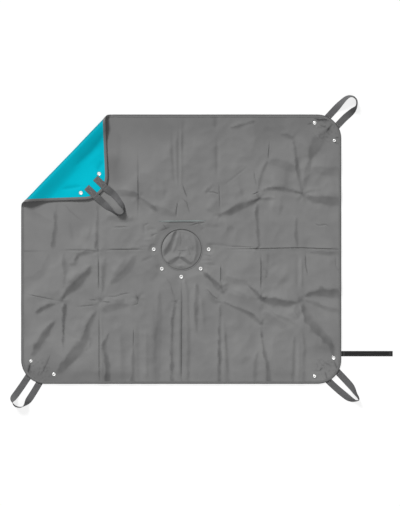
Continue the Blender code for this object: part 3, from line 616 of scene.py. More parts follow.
# Puckers where two packing creases cross, as (x, y, reach) in picture pixels
PUCKERS = (
    (138, 198, 8), (303, 195, 9), (259, 198, 9), (62, 301, 8), (101, 300, 9),
    (138, 298, 8), (301, 300, 9), (222, 287, 7), (261, 298, 6), (176, 302, 5),
    (98, 251, 5), (257, 249, 5), (220, 216, 6), (262, 324, 5),
)

# Creases on the turned corner's lining side, in the same terms
TURNED_CREASES = (
    (-1.0, 3.4, 0.12, (109, 126), (100, 142), (92, 152), (72, 170)),
    (0.5, 4.0, 0.0, (104, 150), (90, 164)),
    (-1.2, 3.0, 0.2, (104, 160), (97, 173)),
    (-1.0, 2.0, 0.2, (60, 190), (84, 186)),
)

# The plan direction towards the window lamp, and how far, in half widths, a line is felt
LAMP_WAY = np.array((-0.5, 0.86))
LINE_REACH = 5
CREASE_END_SHARE = 0.32
SLOPE_END_SHARE = 0.10

# A slanting face: its height for its slope, and how its painted shade varies across and along it
FACE_GAIN = 1.3
FACE_LIFT = 0.45
FACE_EASING = 1.9
FACE_TONE, TONE_ACROSS, TONE_CLOUDS = 0.62, 0.26, 0.55
RAGGED_SHARE = 0.7
RAGGED_EDGE = (0.7, 1.25)

# A pucker: a pit with rays round it, and painted shade in the pit
PUCKER_REACH = 2.5
PUCKER_RAYS = 5
RAY_RISE, PIT_DEPTH, PIT_SHADE = 0.0032, 0.0022, 0.45

# The turned corner's sag, the painted shade along its fold, and the crinkles, with their painted
# shade, about the sewn tails
DROOP = 0.0112
DROOP_BEGINS, DROOP_ENDS = (0.010, 0.072), (0.068, 0.185)
TURNED_REACH = 0.030
FOLD_SHADE, FOLD_SHADE_REACH = 1.6, 0.011
SEWN_BACK = 0.040
CRINKLE_RISE, CRINKLE_SHADE = 0.0009, 0.30

# The cloth stays above its own level, with a soft turn of this size at the lowest places
LEVEL_EASING, LEVEL_DROP = 0.0006, 0.0002


def soft_step(value, low, high):
    t = np.clip((value - low) / (high - low), 0, 1)
    return t * t * (3 - 2 * t)


def bell(value, width=1.0):
    """1 at zero, and soon nothing beyond the width."""
    return np.exp(-((value / width) ** 2))


def cloudiness(x, y, scale, seed):
    """Smooth noise about zero at plan points."""
    return np.array([noise.noise((a / scale, b / scale, seed)) for a, b in zip(x, y)])


def ridges(x, y, scale, seed):
    """Noise that is creased along its zero lines."""
    return 0.35 - np.abs(cloudiness(x, y, scale, seed))


def fold_profile(u):
    """A pressed fold: a sharp valley with low shoulders."""
    valley = 0.45 * bell(u, 3) - 1.45 * np.clip(1 - u, 0, 1)
    return 1.4 * valley, bell(1.1 * u)


def soft_profile(u):
    """A soft line in the cloth: one round rise, or a valley where its height is below zero."""
    return 1.8 * np.exp(-(u ** 1.6)), bell(1.2 * u)


def nearest_on(x, y, line):
    """How far points lie from a line, how far along it, whether on its lamp side, and the line's
    stations.
    """
    best, along, side = np.full(x.shape, 1e9), np.zeros(x.shape), np.ones(x.shape)
    lamp_side = (line[0][1] - line[-1][1], line[-1][0] - line[0][0]) @ LAMP_WAY
    stations = [0.0]
    for (ax, ay), (bx, by) in zip(line, line[1:]):
        length = math.dist((ax, ay), (bx, by))
        t = np.clip(((x - ax) * (bx - ax) + (y - ay) * (by - ay)) / length ** 2, 0, 1)
        gap = np.hypot(x - ax - t * (bx - ax), y - ay - t * (by - ay))
        closer = gap < best
        facing = (x - ax) * (ay - by) + (y - ay) * (bx - ax)
        best[closer], side[closer] = gap[closer], np.sign(facing * lamp_side)[closer]
        along[closer] = (stations[-1] + t * length)[closer]
        stations.append(stations[-1] + length)
    return best, along, side, stations


def round_about(x, y, line, reach):
    """Which plan points lie within reach of a line's box."""
    xs, ys = zip(*line)
    near = (x > min(xs) - reach) & (x < max(xs) + reach)
    return near & (y > min(ys) - reach) & (y < max(ys) + reach)


def end_fade(along, stations, share):
    """How a line fades over a share of its length at both ends."""
    return soft_step(np.minimum(along, stations[-1] - along), 0, share * stations[-1])


def crease_field(x, y, creases, profile):
    """The rise and the painted shade that lines in the picture give at plan points.

    profile gives both, of about 1 at most, at a distance in half widths. A line narrows towards
    its ends.
    """
    rise, dark = np.zeros_like(x), np.zeros_like(x)
    for height, width, shade, *places in creases:
        line = [spot(*p) for p in places]
        near = round_about(x, y, line, width * PIXEL * LINE_REACH)
        if near.any():
            gap, along, _, stations = nearest_on(x[near], y[near], line)
            fade = end_fade(along, stations, CREASE_END_SHARE)
            high, dim = profile(gap / (width * PIXEL * (0.25 + 0.75 * fade)))
            rise[near] += height * 0.001 * high * fade
            dark[near] += shade * dim * fade
    return rise, dark


def slope_field(x, y, slopes):
    """The rise and the painted shade of slanting faces at plan points."""
    rise, dark = np.zeros_like(x), np.zeros_like(x)
    for slope, shade, *places in slopes:
        line = [spot(*p[:2]) for p in places]
        near = round_about(x, y, line, max(p[2] for p in places) * PIXEL * LINE_REACH)
        if near.any():
            gap, along, side, stations = nearest_on(x[near], y[near], line)
            width = np.interp(along, stations, [p[2] * PIXEL for p in places])
            fade = end_fade(along, stations, SLOPE_END_SHARE)
            across = gap / width
            ramp = side * np.minimum(across, 1)
            easing = bell(np.maximum(across - 1, 0), FACE_EASING)
            rise[near] += FACE_GAIN * slope * width * (FACE_LIFT + ramp) * easing * fade
            clouds = cloudiness(x[near], y[near], 0.028, 6.6)
            tone = np.clip(FACE_TONE + TONE_ACROSS * ramp + TONE_CLOUDS * clouds, 0.1, 1)
            ragged = across * (1 + RAGGED_SHARE * cloudiness(x[near], y[near], 0.030, 2.8))
            dark[near] += shade * tone * (1 - soft_step(ragged, *RAGGED_EDGE)) * fade
    return rise, dark


def creased(x, y, slopes, folds, creases):
    """The rise and painted shade of a cloth's slanting faces, folds and soft creases together."""
    rise, dark = slope_field(x, y, slopes)
    for lines, profile in ((folds, fold_profile), (creases, soft_profile)):
        higher, darker = crease_field(x, y, lines, profile)
        rise += higher
        dark += darker
    return rise, dark


def pucker_field(x, y):
    """The rise and the painted shade of the puckers at plan points."""
    rise, dark = np.zeros_like(x), np.zeros_like(x)
    for cx, cy, pixels in PUCKERS:
        px, py = spot(cx, cy)
        reach = pixels * PIXEL
        near = np.hypot(x - px, y - py) < reach * PUCKER_REACH
        dx, dy = x[near] - px, y[near] - py
        gap, turn = np.hypot(dx, dy) / reach, np.arctan2(dy, dx)
        rays = np.cos(PUCKER_RAYS * turn + cx) * gap * bell(1.5 * gap)
        rise[near] += RAY_RISE * rays - PIT_DEPTH * bell(3.2 * gap)
        dark[near] += PIT_SHADE * bell(3.6 * gap)
    return rise, dark


def edge_distance(x, y):
    """How far plan points lie inside the mat's outline."""
    a, b = MAT_WIDTH / 2 - np.abs(x), MAT_DEPTH / 2 - np.abs(y)
    in_corner = (a < CORNER_RADIUS) & (b < CORNER_RADIUS)
    rounded = CORNER_RADIUS - np.hypot(CORNER_RADIUS - a, CORNER_RADIUS - b)
    return np.where(in_corner, rounded, np.minimum(a, b))


def hatch_snap_places():
    """The plan points of the five snaps round the lower half of the hole."""
    turns = [math.radians(angle) for angle in HATCH_SNAP_ANGLES]
    return [(HATCH_SNAP_CIRCLE * math.cos(t), HATCH_SNAP_CIRCLE * math.sin(t)) for t in turns]


def from_tails(corner, x, y):
    """How far plan points lie from the middle of a corner's sewn tails."""
    px, py = corner.near(-SEWN_BACK, 0)
    return np.hypot(x - px, y - py)


def freedom(x, y):
    """How freely the cloth rises: less at its edges, seams and snaps and under the turned corner.

    Each row is the distance from such a place, where the cloth is held, where it is free, and the
    freedom that it keeps at the place itself.
    """
    rows = [
        (edge_distance(x, y), 0.004, 0.050, 0.40),
        (np.hypot(x, y), HOLE_RADIUS + 0.008, HOLE_RADIUS + 0.040, 0.04),
        (-TOP_LEFT.outside(x, y), 0.225, 0.275, 0.15),
    ]
    rows += [(np.hypot(x - px, y - py), 0.0095, 0.024, 0.02) for px, py in hatch_snap_places()]
    rows += [(from_tails(corner, x, y), 0.055, 0.11, 0.25) for corner in CORNERS[1:]]
    free = np.ones_like(x)
    for gap, held, loose, kept in rows:
        free *= kept + (1 - kept) * soft_step(gap, held, loose)
    return free


def sewn_crinkle(x, y):
    """Crinkles of up to 1 about the sewn tails of the flat corners."""
    crinkle = np.zeros_like(x)
    for corner in CORNERS[1:]:
        gap = from_tails(corner, x, y)
        near = gap < 0.064
        sewn = 1 - soft_step(gap[near], 0.034, 0.064)
        crinkle[near] = sewn * np.clip(ridges(x[near], y[near], 0.019, 5.9) * 8 - 1.8, 0, 1)
    return crinkle


def turned_droop(outside):
    """How far the turned corner sags below a straight line, by the distance from its fold."""
    return DROOP * soft_step(outside, *DROOP_BEGINS) * (1 - soft_step(outside, *DROOP_ENDS))


def relief(x, y):
    """How far the cloth stands above its level at plan points, and its painted shade.

    On the turned corner, which lies upside down, what stands above the level hangs below it.
    """
    x, y = np.asarray(x, float), np.asarray(y, float)
    rise, dark = creased(x, y, SLOPES, FOLDS, CREASES)
    higher, darker = pucker_field(x, y)
    swell = 0.0032 + 0.0034 * cloudiness(x, y, 0.16, 3.1) + 0.0058 * ridges(x, y, 0.12, 7.7)
    fine = 0.00055 * cloudiness(x, y, 0.022, 1.3) + 0.0024 * ridges(x, y, 0.050, 9.1)
    crinkle = sewn_crinkle(x, y)
    level = (swell + rise + higher + fine) * freedom(x, y) + CRINKLE_RISE * crinkle
    level = (level + np.sqrt(level ** 2 + LEVEL_EASING ** 2)) / 2 - LEVEL_DROP
    dark = dark + darker + CRINKLE_SHADE * crinkle
    outside = TOP_LEFT.outside(x, y)
    turned = soft_step(outside, 0.0, TURNED_REACH)
    if turned.any():
        bump, shade = crease_field(*fold_back(x, y), TURNED_CREASES, soft_profile)
        bump += 0.0012 * cloudiness(x, y, 0.09, 5.5)
        level = level * (1 - turned) + (turned_droop(outside) - bump) * turned
        dark = dark * (1 - turned) + shade * turned
        # Painted shade along the turned corner's fold
        dark += FOLD_SHADE * bell(outside, FOLD_SHADE_REACH)
    return level, dark


def fold_back(x, y):
    """Where plan points of the turned corner lie once it is turned over."""
    flat = np.stack([x, y, np.full(x.shape, MIDDLE)], axis=1)
    moved = TOP_LEFT.place(flat)
    return moved[:, 0], moved[:, 1]


# The lattice that each cloth's points lie on, and how clear of its rails and borders it stays
LATTICE_STEP = 0.0052
TURNED_LATTICE_STEP = 0.0040
RAIL_CLEARANCE_SHARE = 0.45
LATTICE_CLEARANCE_SHARE = 0.5
WEAVE_PITCH = 0.0022
WEAVE_DEPTH = 0.00006


def points_between(a, b, count):
    """Evenly spaced plan points, from one to just short of another."""
    return [
        (a[0] + (b[0] - a[0]) * i / count, a[1] + (b[1] - a[1]) * i / count) for i in range(count)
    ]


def spaced(loop, step, closed=True):
    """A loop's points, with more between them so that none are further apart than step."""
    result = []
    ends = loop[1:] + loop[:1] if closed else loop[1:]
    for a, b in zip(loop, ends):
        result += points_between(a, b, max(1, round(math.dist(a, b) / step)))
    return result if closed else result + [loop[-1]]


def area_of(loop):
    """The signed area of a plan loop."""
    return sum(a[0] * b[1] - b[0] * a[1] for a, b in zip(loop, loop[1:] + loop[:1])) / 2


def inside(x, y, loop):
    """Whether plan points lie inside a loop."""
    result = np.zeros(x.shape, bool)
    for (ax, ay), (bx, by) in zip(loop, loop[1:] + loop[:1]):
        if ay != by:
            crosses = (ay > y) != (by > y)
            result ^= crosses & (x < (bx - ax) * (y - ay) / (by - ay) + ax)
    return result


def fold_rails(step):
    """The lines of plan points that the cloth is bent along: each fold's bottom, and the two
    edges of each fold and each slanting face.
    """
    rails = []
    bends = [[(*p, width) for p in places] for _, width, _, *places in FOLDS]
    bends += [list(places) for _, _, *places in SLOPES]
    for number, places in enumerate(bends):
        corners = [spot(*p[:2]) for p in places]
        line = np.array(spaced(corners, step, closed=False))
        way = np.gradient(line, axis=0)
        way /= np.hypot(way[:, 0], way[:, 1])[:, None]
        _, along, _, stations = nearest_on(line[:, 0], line[:, 1], corners)
        width = np.interp(along, stations, [p[2] * PIXEL for p in places])
        normal = np.stack([-way[:, 1], way[:, 0]], axis=1) * width[:, None]
        rails += [line - normal, line + normal]
        if number < len(FOLDS):
            rails.append(line)
    return rails


def distance_to(x, y, a, b):
    """How far points lie from the line between two others."""
    t = ((x - a[0]) * (b[0] - a[0]) + (y - a[1]) * (b[1] - a[1])) / math.dist(a, b) ** 2
    t = np.clip(t, 0, 1)
    return np.hypot(x - a[0] - t * (b[0] - a[0]), y - a[1] - t * (b[1] - a[1]))


def gap_to(x, y, lines, reach):
    """How far points lie from the nearest of the lines, as far as reach."""
    gap = np.full(x.shape, reach)
    for a, b in lines:
        near = (np.abs(x - a[0]) < 2 * reach) & (np.abs(y - a[1]) < 2 * reach)
        gap[near] = np.minimum(gap[near], distance_to(x[near], y[near], a, b))
    return gap


def lattice(loops, step):
    """The points of a triangular lattice inside the first loop and outside the others."""
    xs, ys = zip(*loops[0])
    rows = np.arange(min(ys), max(ys), step * math.sqrt(3) / 2)
    x, y = np.meshgrid(np.arange(min(xs), max(xs), step), rows)
    x = (x + (np.arange(len(rows)) % 2)[:, None] * step / 2).ravel()
    y = y.ravel()
    keep = inside(x, y, loops[0])
    for hole in loops[1:]:
        keep &= ~inside(x, y, hole)
    return x[keep], y[keep]


def cloth_plan(outline, holes, step, rails=()):
    """Plan points, triangles and border edges of a cloth, on a lattice that meets its borders."""
    loops = [spaced(loop, step) for loop in (outline, *holes)]
    loops = [
        loop if (area_of(loop) > 0) == (k == 0) else loop[::-1] for k, loop in enumerate(loops)
    ]
    border, edges, areas = [], [], []
    for loop in loops:
        first, size = len(border), len(loop)
        border += loop
        edges += [(first + i, first + (i + 1) % size) for i in range(size)]
        areas.append(list(range(first, first + size))[:: -1 if areas else 1])
    lines = [(border[i], border[j]) for i, j in edges]
    points, chains = list(border), []
    for rail in rails:
        x, y = rail[:, 0], rail[:, 1]
        kept = inside(x, y, loops[0]) & (gap_to(x, y, lines, step) > RAIL_CLEARANCE_SHARE * step)
        for k in np.flatnonzero(kept):
            if k and kept[k - 1]:
                chains.append((len(points) - 1, len(points)))
            points.append((x[k], y[k]))
    lines += [(points[i], points[j]) for i, j in chains]
    x, y = lattice(loops, step)
    keep = gap_to(x, y, lines, step) > LATTICE_CLEARANCE_SHARE * step
    points += list(zip(x[keep], y[keep]))
    found = delaunay_2d_cdt([Vector(p) for p in points], chains, areas, 0, 1e-6, True)
    plan, triangles = np.array([tuple(p) for p in found[0]]), np.array(found[2])
    number = {old: new for new, origins in enumerate(found[3]) for old in origins}
    edges = [(number[i], number[j]) for i, j in edges]
    a, b, c = (plan[triangles[:, k]] for k in range(3))
    turn = (b[:, 0] - a[:, 0]) * (c[:, 1] - a[:, 1]) - (b[:, 1] - a[:, 1]) * (c[:, 0] - a[:, 0])
    triangles[turn < 0] = triangles[turn < 0][:, ::-1]
    return plan, triangles[[origins == [0] for origins in found[5]]], edges


def new_mesh(name, points, faces, finish, sharp=40.0, **values):
    """A named piece from points and faces, with a number per point for each named value."""
    mesh = bpy.data.meshes.new(name)
    places, corners = [tuple(map(float, p)) for p in points], [tuple(map(int, f)) for f in faces]
    mesh.from_pydata(places, [], corners)
    mesh.shade_smooth()
    mesh.set_sharp_from_angle(angle=math.radians(sharp))
    for key, numbers in values.items():
        attribute = mesh.attributes.new(key, "FLOAT", "POINT")
        attribute.data.foreach_set("value", np.asarray(numbers, np.float32))
    mesh.materials.append(finish.material)
    piece = bpy.data.objects.new(name, mesh)
    bpy.context.collection.objects.link(piece)
    return piece


def flat_place(points):
    """The middle of the mat lies where it was cut."""
    return points


def cloth_piece(name, plan_of, low, high, finish, rise, place=flat_place):
    """A thin closed cloth between two levels, lifted by its relief and put in place."""
    plan, triangles, edges = plan_of
    lift, dark = rise(plan[:, 0], plan[:, 1])
    count = len(plan)
    sides = [np.column_stack([plan, level + lift]) for level in (low, high)]
    points = np.concatenate([place(side) for side in sides])
    faces = [t[::-1] for t in triangles] + list(triangles + count)
    faces += [(i, j, j + count, i + count) for i, j in edges]
    return new_mesh(name, points, faces, finish, crease=np.concatenate([dark, dark]))


def coated_cloth(name, colour, dark_colour, worn_colour, roughness):
    """A coated cloth: clouded colour and a fine plain weave as bump.

    Its creases and slanting faces are painted darker, as painted shade.
    """
    finish = Finish(name, Specular_IOR_Level=0.04)
    wear_and_shade = (finish.cloud(scale=7.0) * 2.4 - 0.7).clamped()
    base = finish.blend(colour, worn_colour, wear_and_shade)
    # Painted shade, as much as each point carries, in creases, pits and slanting faces and along
    # the turned fold
    base = finish.blend(base, dark_colour, (finish.carried("crease") * 0.9).clamped())
    grain = finish.cloud(scale=420.0, detail=2.0)
    finish.set(Base_Color=base, Roughness=roughness + (grain - 0.5) * 0.12)
    x, y, _ = finish.parts(finish.place())
    weave = x.waves(WEAVE_PITCH) * y.waves(WEAVE_PITCH) * 0.5 + 0.5
    finish.bump(weave, strength=0.35, distance=WEAVE_DEPTH)
    return finish


grey_cloth = coated_cloth(
    "grey_coated_cloth",
    colour=grey(0.190),
    dark_colour=(0.060, 0.060, 0.061, 1.0),
    worn_colour=(0.226, 0.226, 0.225, 1.0),
    roughness=0.62,
)
teal_cloth = coated_cloth(
    "teal_lining_cloth",
    colour=(0.0, 0.438, 0.560, 1.0),
    dark_colour=(0.0, 0.200, 0.260, 1.0),
    worn_colour=(0.0, 0.490, 0.615, 1.0),
    roughness=0.55,
)


def ring(radius, count=96):
    turns = [math.tau * (i + 0.5) / count for i in range(count)]
    return [(radius * math.cos(t), radius * math.sin(t)) for t in turns]


rails = fold_rails(LATTICE_STEP)
middle_outline = []
for corner, forwards in zip(CORNERS, (False, True, False, True)):
    ends = corner.band(CLOTH_INSET)
    middle_outline += [ends[0], ends[-1]] if forwards else [ends[-1], ends[0]]
hole_edge = ring(HOLE_RADIUS + CLOTH_INSET)
middle_plan = cloth_plan(middle_outline, [hole_edge], LATTICE_STEP, rails)

for layer, low, high, finish, rests_on in (
    ("face", FACE_LOW, FACE_HIGH, grey_cloth, "main_lining_cloth"),
    ("lining", LINING_LOW, LINING_HIGH, teal_cloth, "floor"),
):
    piece = cloth_piece(f"main_{layer}_cloth", middle_plan, low, high, finish, relief)
    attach(piece, "mat")
    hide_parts(f"main_{layer}")
    abs(area_of(middle_outline)) - math.pi * HOLE_RADIUS ** 2

for corner in CORNERS:
    outline = corner.band(CLOTH_INSET)
    step = TURNED_LATTICE_STEP if corner.turned else LATTICE_STEP
    corner_plan = cloth_plan(outline, [], step, () if corner.turned else rails)
    for layer, low, high, finish in (
        ("face", FACE_LOW, FACE_HIGH, grey_cloth),
        ("lining", LINING_LOW, LINING_HIGH, teal_cloth),
    ):
        name = f"{corner.name}_corner_{layer}_cloth"
        piece = cloth_piece(name, corner_plan, low, high, finish, relief, corner.place)
        corner.hold(piece)
        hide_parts(f"{corner.body}_{layer}")
        if corner.turned:
            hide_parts(f"fold_roll_{layer}")
        abs(area_of(outline))

# The binding. A narrow tape folded over both cloths and sewn through, in straight runs along the
# four edges, round each corner, and as a ring round the hole in the middle.

BINDING_WIDTH = 0.010
HOLE_BINDING_WIDTH = 0.006
TAPE_SWELL = 0.0001
NOSE_SHARE = 0.42
RUN_STEPS = 150
LEG_STEPS = 56
STITCH_HALF_WIDTH = 0.00035
STITCH_PITCH = 0.0040
TAPE_RIB_PITCH = 0.0014


def tape_section(low, high, width):
    """A folded tape's section round cloth between two levels, as (inset, level) round it."""
    inner_low, inner_high = low - GAP, high + GAP
    outer_low, outer_high = inner_low - BINDING_CLOTH, inner_high + BINDING_CLOTH
    middle, half = (low + high) / 2, (outer_high - outer_low) / 2
    nose = half * NOSE_SHARE
    turns = [math.pi * k / 8 for k in range(1, 8)]
    round_nose = [(nose * (1 - math.sin(t)), middle - half * math.cos(t)) for t in turns]
    return [
        (nose, outer_high), (width / 2, outer_high + TAPE_SWELL), (width, outer_high),
        (width, inner_high), (BINDING_CLOTH, inner_high), (BINDING_CLOTH, inner_low),
        (width, inner_low), (width, outer_low), (width / 2, max(outer_low - TAPE_SWELL, 0)),
        (nose, outer_low), *round_nose,
    ]


def ring_faces(count, size, closed=False):
    """The faces of a tube of rings with size points each, capped unless it closes on itself."""
    faces = []
    for k in range(count if closed else count - 1):
        a, b = k * size, (k + 1) % count * size
        faces += [(a + i, a + (i + 1) % size, b + (i + 1) % size, b + i) for i in range(size)]
    if not closed:
        faces += [tuple(range(size))[::-1], tuple(range((count - 1) * size, count * size))]
    return faces


def swept(path_at, section, rise, place=flat_place, closed=False):
    """The points, faces and carried numbers of a section swept along a path in the flat mat."""
    paths = [np.array(path_at(inset)) for inset, _ in section]
    count, size = len(paths[0]), len(section)
    rings = np.zeros((count, size, 3))
    steps = np.hypot(*np.diff(paths[0], axis=0).T)
    along = np.repeat(np.concatenate([[0], np.cumsum(steps)]), size)
    across = np.tile([inset for inset, _ in section], count)
    for k, (path, (_, level)) in enumerate(zip(paths, section)):
        lift, _ = rise(path[:, 0], path[:, 1])
        rings[:, k, :2] = path
        rings[:, k, 2] = level + lift
    faces = ring_faces(count, size, closed)
    return place(rings.reshape(-1, 3)), faces, {"along": along, "across": across}


def facing_out(points, faces):
    """The faces turned so that the solid's volume is positive."""
    volume = 0.0
    for face in faces:
        a = Vector(points[face[0]])
        for i in range(1, len(face) - 1):
            volume += a.dot(Vector(points[face[i]]).cross(Vector(points[face[i + 1]])))
    return faces if volume > 0 else [f[::-1] for f in faces]


def new_solid(name, shape, finish, sharp=40.0, **values):
    """A closed piece from a shape: points, faces and the numbers that its points carry."""
    points, faces, carried = shape
    return new_mesh(name, points, facing_out(points, faces), finish, sharp, **carried, **values)


def dashes(run, pitch):
    """1 along each stitch of a row, and 0 between stitches."""
    return run.do("LESS_THAN", run.do("PINGPONG", run, pitch / 2), pitch * 0.36)


def shaded(colour, factor):
    return tuple(min(1.0, c * factor) for c in colour[:3]) + (1.0,)


def stitched_tape(name, colour, thread, row):
    """Grosgrain tape: fine ribs, clouded colour, a fold of painted shade and one row of stitches.
    """
    finish = Finish(name, Roughness=0.8, Specular_IOR_Level=0.06)
    across, along = finish.carried("across"), finish.carried("along")
    stitches = across.do("COMPARE", across, row, STITCH_HALF_WIDTH) * dashes(along, STITCH_PITCH)
    base = finish.blend(colour, shaded(colour, 1.25), finish.cloud(scale=40.0))
    # Painted shade on the outer fold, as much as each point carries
    base = finish.blend(base, shaded(colour, 0.25), finish.carried("crease"))
    finish.set(Base_Color=finish.blend(base, thread, stitches))
    height = along.waves(TAPE_RIB_PITCH) * 0.25 + stitches
    finish.bump(height, strength=0.5, distance=0.00025)
    return finish


binding_tape = stitched_tape(
    "grey_binding_tape", grey(0.150), grey(0.230), row=BINDING_WIDTH - 0.0018
)
hole_tape_finish = stitched_tape(
    "grey_hole_tape", grey(0.165), grey(0.230), row=HOLE_BINDING_WIDTH - 0.0014
)


def painted_edge_shade(points, section, amount):
    """The painted shade of a swept tape: amount on its outer fold, and none elsewhere."""
    on_fold = [1.0 if inset < CLOTH_INSET else 0.0 for inset, _ in section]
    return np.tile(on_fold, len(points) // len(section)) * amount


edge_section = tape_section(LINING_LOW, FACE_HIGH, BINDING_WIDTH)
# Painted shade on the edge tapes' outer fold, less on the turned corner
EDGE_SHADE, TURNED_EDGE_SHADE = 0.7, 0.15

for name, first, second, at in (
    ("top", TOP_LEFT, TOP_RIGHT, 0),
    ("right", TOP_RIGHT, BOTTOM_RIGHT, -1),
    ("bottom", BOTTOM_RIGHT, BOTTOM_LEFT, 0),
    ("left", BOTTOM_LEFT, TOP_LEFT, -1),
):

    def straight(inset, first=first, second=second, at=at):
        start, end = first.band(inset)[at], second.band(inset)[at]
        return [*points_between(start, end, RUN_STEPS), end]

    shape = swept(straight, edge_section, relief)
    wear_and_shade = painted_edge_shade(shape[0], edge_section, EDGE_SHADE)
    piece = new_solid(f"edge_tape_{name}", shape, binding_tape, crease=wear_and_shade)
    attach(piece, "mat")
    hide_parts(f"edge_binding_{name}")

for corner in CORNERS:

    def round_corner(inset, corner=corner):
        first, *bend, last = corner.band(inset)
        before = points_between(first, bend[0], LEG_STEPS)
        after = points_between(bend[-1], last, LEG_STEPS)
        return [*before, *bend, *after[1:], last]

    shape = swept(round_corner, edge_section, relief, corner.place)
    tape_shade = TURNED_EDGE_SHADE if corner.turned else EDGE_SHADE
    wear_and_shade = painted_edge_shade(shape[0], edge_section, tape_shade)
    piece = new_solid(f"{corner.name}_corner_tape", shape, binding_tape, crease=wear_and_shade)
    corner.hold(piece)
    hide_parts(f"{corner.body}_binding")

# Where the hatch's flap stands against the hole's edge, as directions and widths in radians. The
# ring's outer fold carries painted shadow elsewhere, and most of all at the lower right.
FLAP_CONTACTS = ((1.9, 0.5), (-2.5, 0.35))
RING_DARK_WAY = np.array((1.0, -0.6)) / 1.17
hole_section = tape_section(LINING_LOW, FACE_HIGH, HOLE_BINDING_WIDTH)


def hole_ring(inset):
    return ring(HOLE_RADIUS + inset)


def flap_against(x, y):
    """How closely the flap stands against the hole's edge in a direction, up to 1."""
    return sum(bell(np.arctan2(y, x) - at, width) for at, width in FLAP_CONTACTS)


shape = swept(hole_ring, hole_section, relief, closed=True)
ring_x, ring_y = shape[0][:, 0], shape[0][:, 1]
# Painted shadow on the ring's outer fold, deepest at the lower right, faint where the flap stands
# against it
lower_right = 0.55 + 0.45 * (shape[0][:, :2] @ RING_DARK_WAY) / HOLE_RADIUS
open_edge = 1 - 0.9 * flap_against(ring_x, ring_y)
wear_and_shade = painted_edge_shade(shape[0], hole_section, np.clip(lower_right, 0.1, 1) * open_edge)
hole_tape = new_solid("hole_tape", shape, hole_tape_finish, crease=wear_and_shade)
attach(hole_tape, "mat")
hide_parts("hole_binding")

# The handles. Flat webbing, woven with ribs across it. Each handle is one loop whose two ends are
# sewn under the corner, on the lining side, with a stitched box and cross.

WEBBING_WIDTH = 0.025
STRAND_SPACING = 0.048
TAIL_LENGTH = 0.052
TAIL_HEM = 0.006
TAIL_STEPS = 24
PLAIN_TAIL_SHARE = 0.8
HANDLE_REACH = 0.118
HANDLE_AXIS_OUT = 0.00243
LOOP_DROP_SHARE = 0.35
LOOP_STEPS = 14
WEBBING_STITCH_PITCH = 0.0036

# A tail ends thin, just past the mat's edge, and a thin tongue of the loop reaches back to it
TAIL_OUT = 0.0014
TONGUE = 0.00085
THIN_SHARE = 0.3

# A webbing's section, as shares of its width and of its thickness
RIBBON_SHARES = (
    (-0.500, 0.00), (-0.485, -0.42), (-0.440, -0.50), (-0.150, -0.50), (0.150, -0.50),
    (0.440, -0.50), (0.485, -0.42), (0.500, 0.00), (0.485, 0.42), (0.440, 0.50),
    (0.150, 0.50), (-0.150, 0.50), (-0.440, 0.50), (-0.485, 0.42),
)


def smooth_path(points, steps):
    """Points on a Catmull-Rom curve through the given ones."""
    padded = [2 * points[0] - points[1], *points, 2 * points[-1] - points[-2]]
    result = []
    for a, b, c, d in zip(padded, padded[1:], padded[2:], padded[3:]):
        for i in range(steps):
            t = i / steps
            bend = 2 * a - 5 * b + 4 * c - d
            twist = 3 * b - a - 3 * c + d
            result.append((2 * b + (c - a) * t + bend * t * t + twist * t ** 3) / 2)
    return [*result, points[-1]]


def ribbon(name, path, width, thickness, start, end, finish, tongues):
    """A webbing along (plan point, level of its lower side, turn on edge) places.

    start and end are its ways at its two ends. At each end that tongues names, a thin tongue
    reaches back towards the sewn tail.
    """
    thin = set()
    if "start" in tongues:
        path = [(path[0][0] - start * TONGUE, *path[0][1:]), *path]
        thin.add(0)
    if "end" in tongues:
        path = [*path, (path[-1][0] + end * TONGUE, *path[-1][1:])]
        thin.add(len(path) - 1)
    rings, run, across, along = [], 0.0, [], []
    previous = path[0][0]
    for k, (point, low, turn) in enumerate(path):
        before, after = path[max(k - 1, 0)][0], path[min(k + 1, len(path) - 1)][0]
        way = start if k == 0 else end if k == len(path) - 1 else (after - before).normalized()
        run += (point - previous).length
        previous = point
        side = way.cross(UP)
        wide = side * math.cos(turn) + UP * math.sin(turn)
        thick = UP * math.cos(turn) - side * math.sin(turn)
        rise = width / 2 * abs(math.sin(turn)) + thickness / 2 * abs(math.cos(turn))
        middle = point + UP * (low + rise)
        deep = thickness * (THIN_SHARE if k in thin else 1)
        rings += [middle + wide * width * w + thick * deep * t for w, t in RIBBON_SHARES]
        across += [w * width for w, _ in RIBBON_SHARES]
        along += [run] * len(RIBBON_SHARES)
    faces = ring_faces(len(path), len(RIBBON_SHARES))
    return new_solid(name, (rings, faces, {"across": across, "along": along}), finish)


def ribbed_webbing(name, colour, pitch, thread, box_middle, box_length, box_width):
    """Woven webbing: ribs across it, clouded colour, and a sewn box with a cross.

    Rib crests are painted lighter and the hollows darker, as painted light and shade.
    """
    finish = Finish(name, Roughness=0.78, Specular_IOR_Level=0.10)
    across, along = finish.carried("across"), finish.carried("along")
    rib, strand = along.waves(pitch), across.waves(pitch * 0.8)
    weave = rib * 0.35 + rib * strand * 0.15 + 0.5
    # Painted highlight on the ribs' crests and painted shade between them, with clouded tone
    light_share = (weave * 0.6 + finish.cloud(scale=60.0) * 0.5).clamped()
    base = finish.blend(shaded(colour, 0.62), shaded(colour, 1.3), light_share)
    long_way, wide_way = abs(along - box_middle) / box_length, abs(across) / box_width
    out = long_way.larger(wide_way)
    frame_line = out.do("COMPARE", out, 0.97, 0.045)
    cross_line = out.do("COMPARE", long_way, wide_way, 0.07) * out.do("LESS_THAN", out, 0.97)
    sewn = frame_line.larger(cross_line)
    stitches = sewn * dashes(along + across, WEBBING_STITCH_PITCH)
    finish.set(Base_Color=finish.blend(base, thread, stitches))
    finish.bump(weave + stitches, strength=0.6, distance=0.0003)
    return finish


webbing = ribbed_webbing(
    "grey_webbing",
    colour=(0.120, 0.120, 0.122, 1.0),
    pitch=0.0020,
    thread=grey(0.215),
    box_middle=-0.54 * TAIL_LENGTH,
    box_length=0.42 * TAIL_LENGTH,
    box_width=0.40 * WEBBING_WIDTH,
)


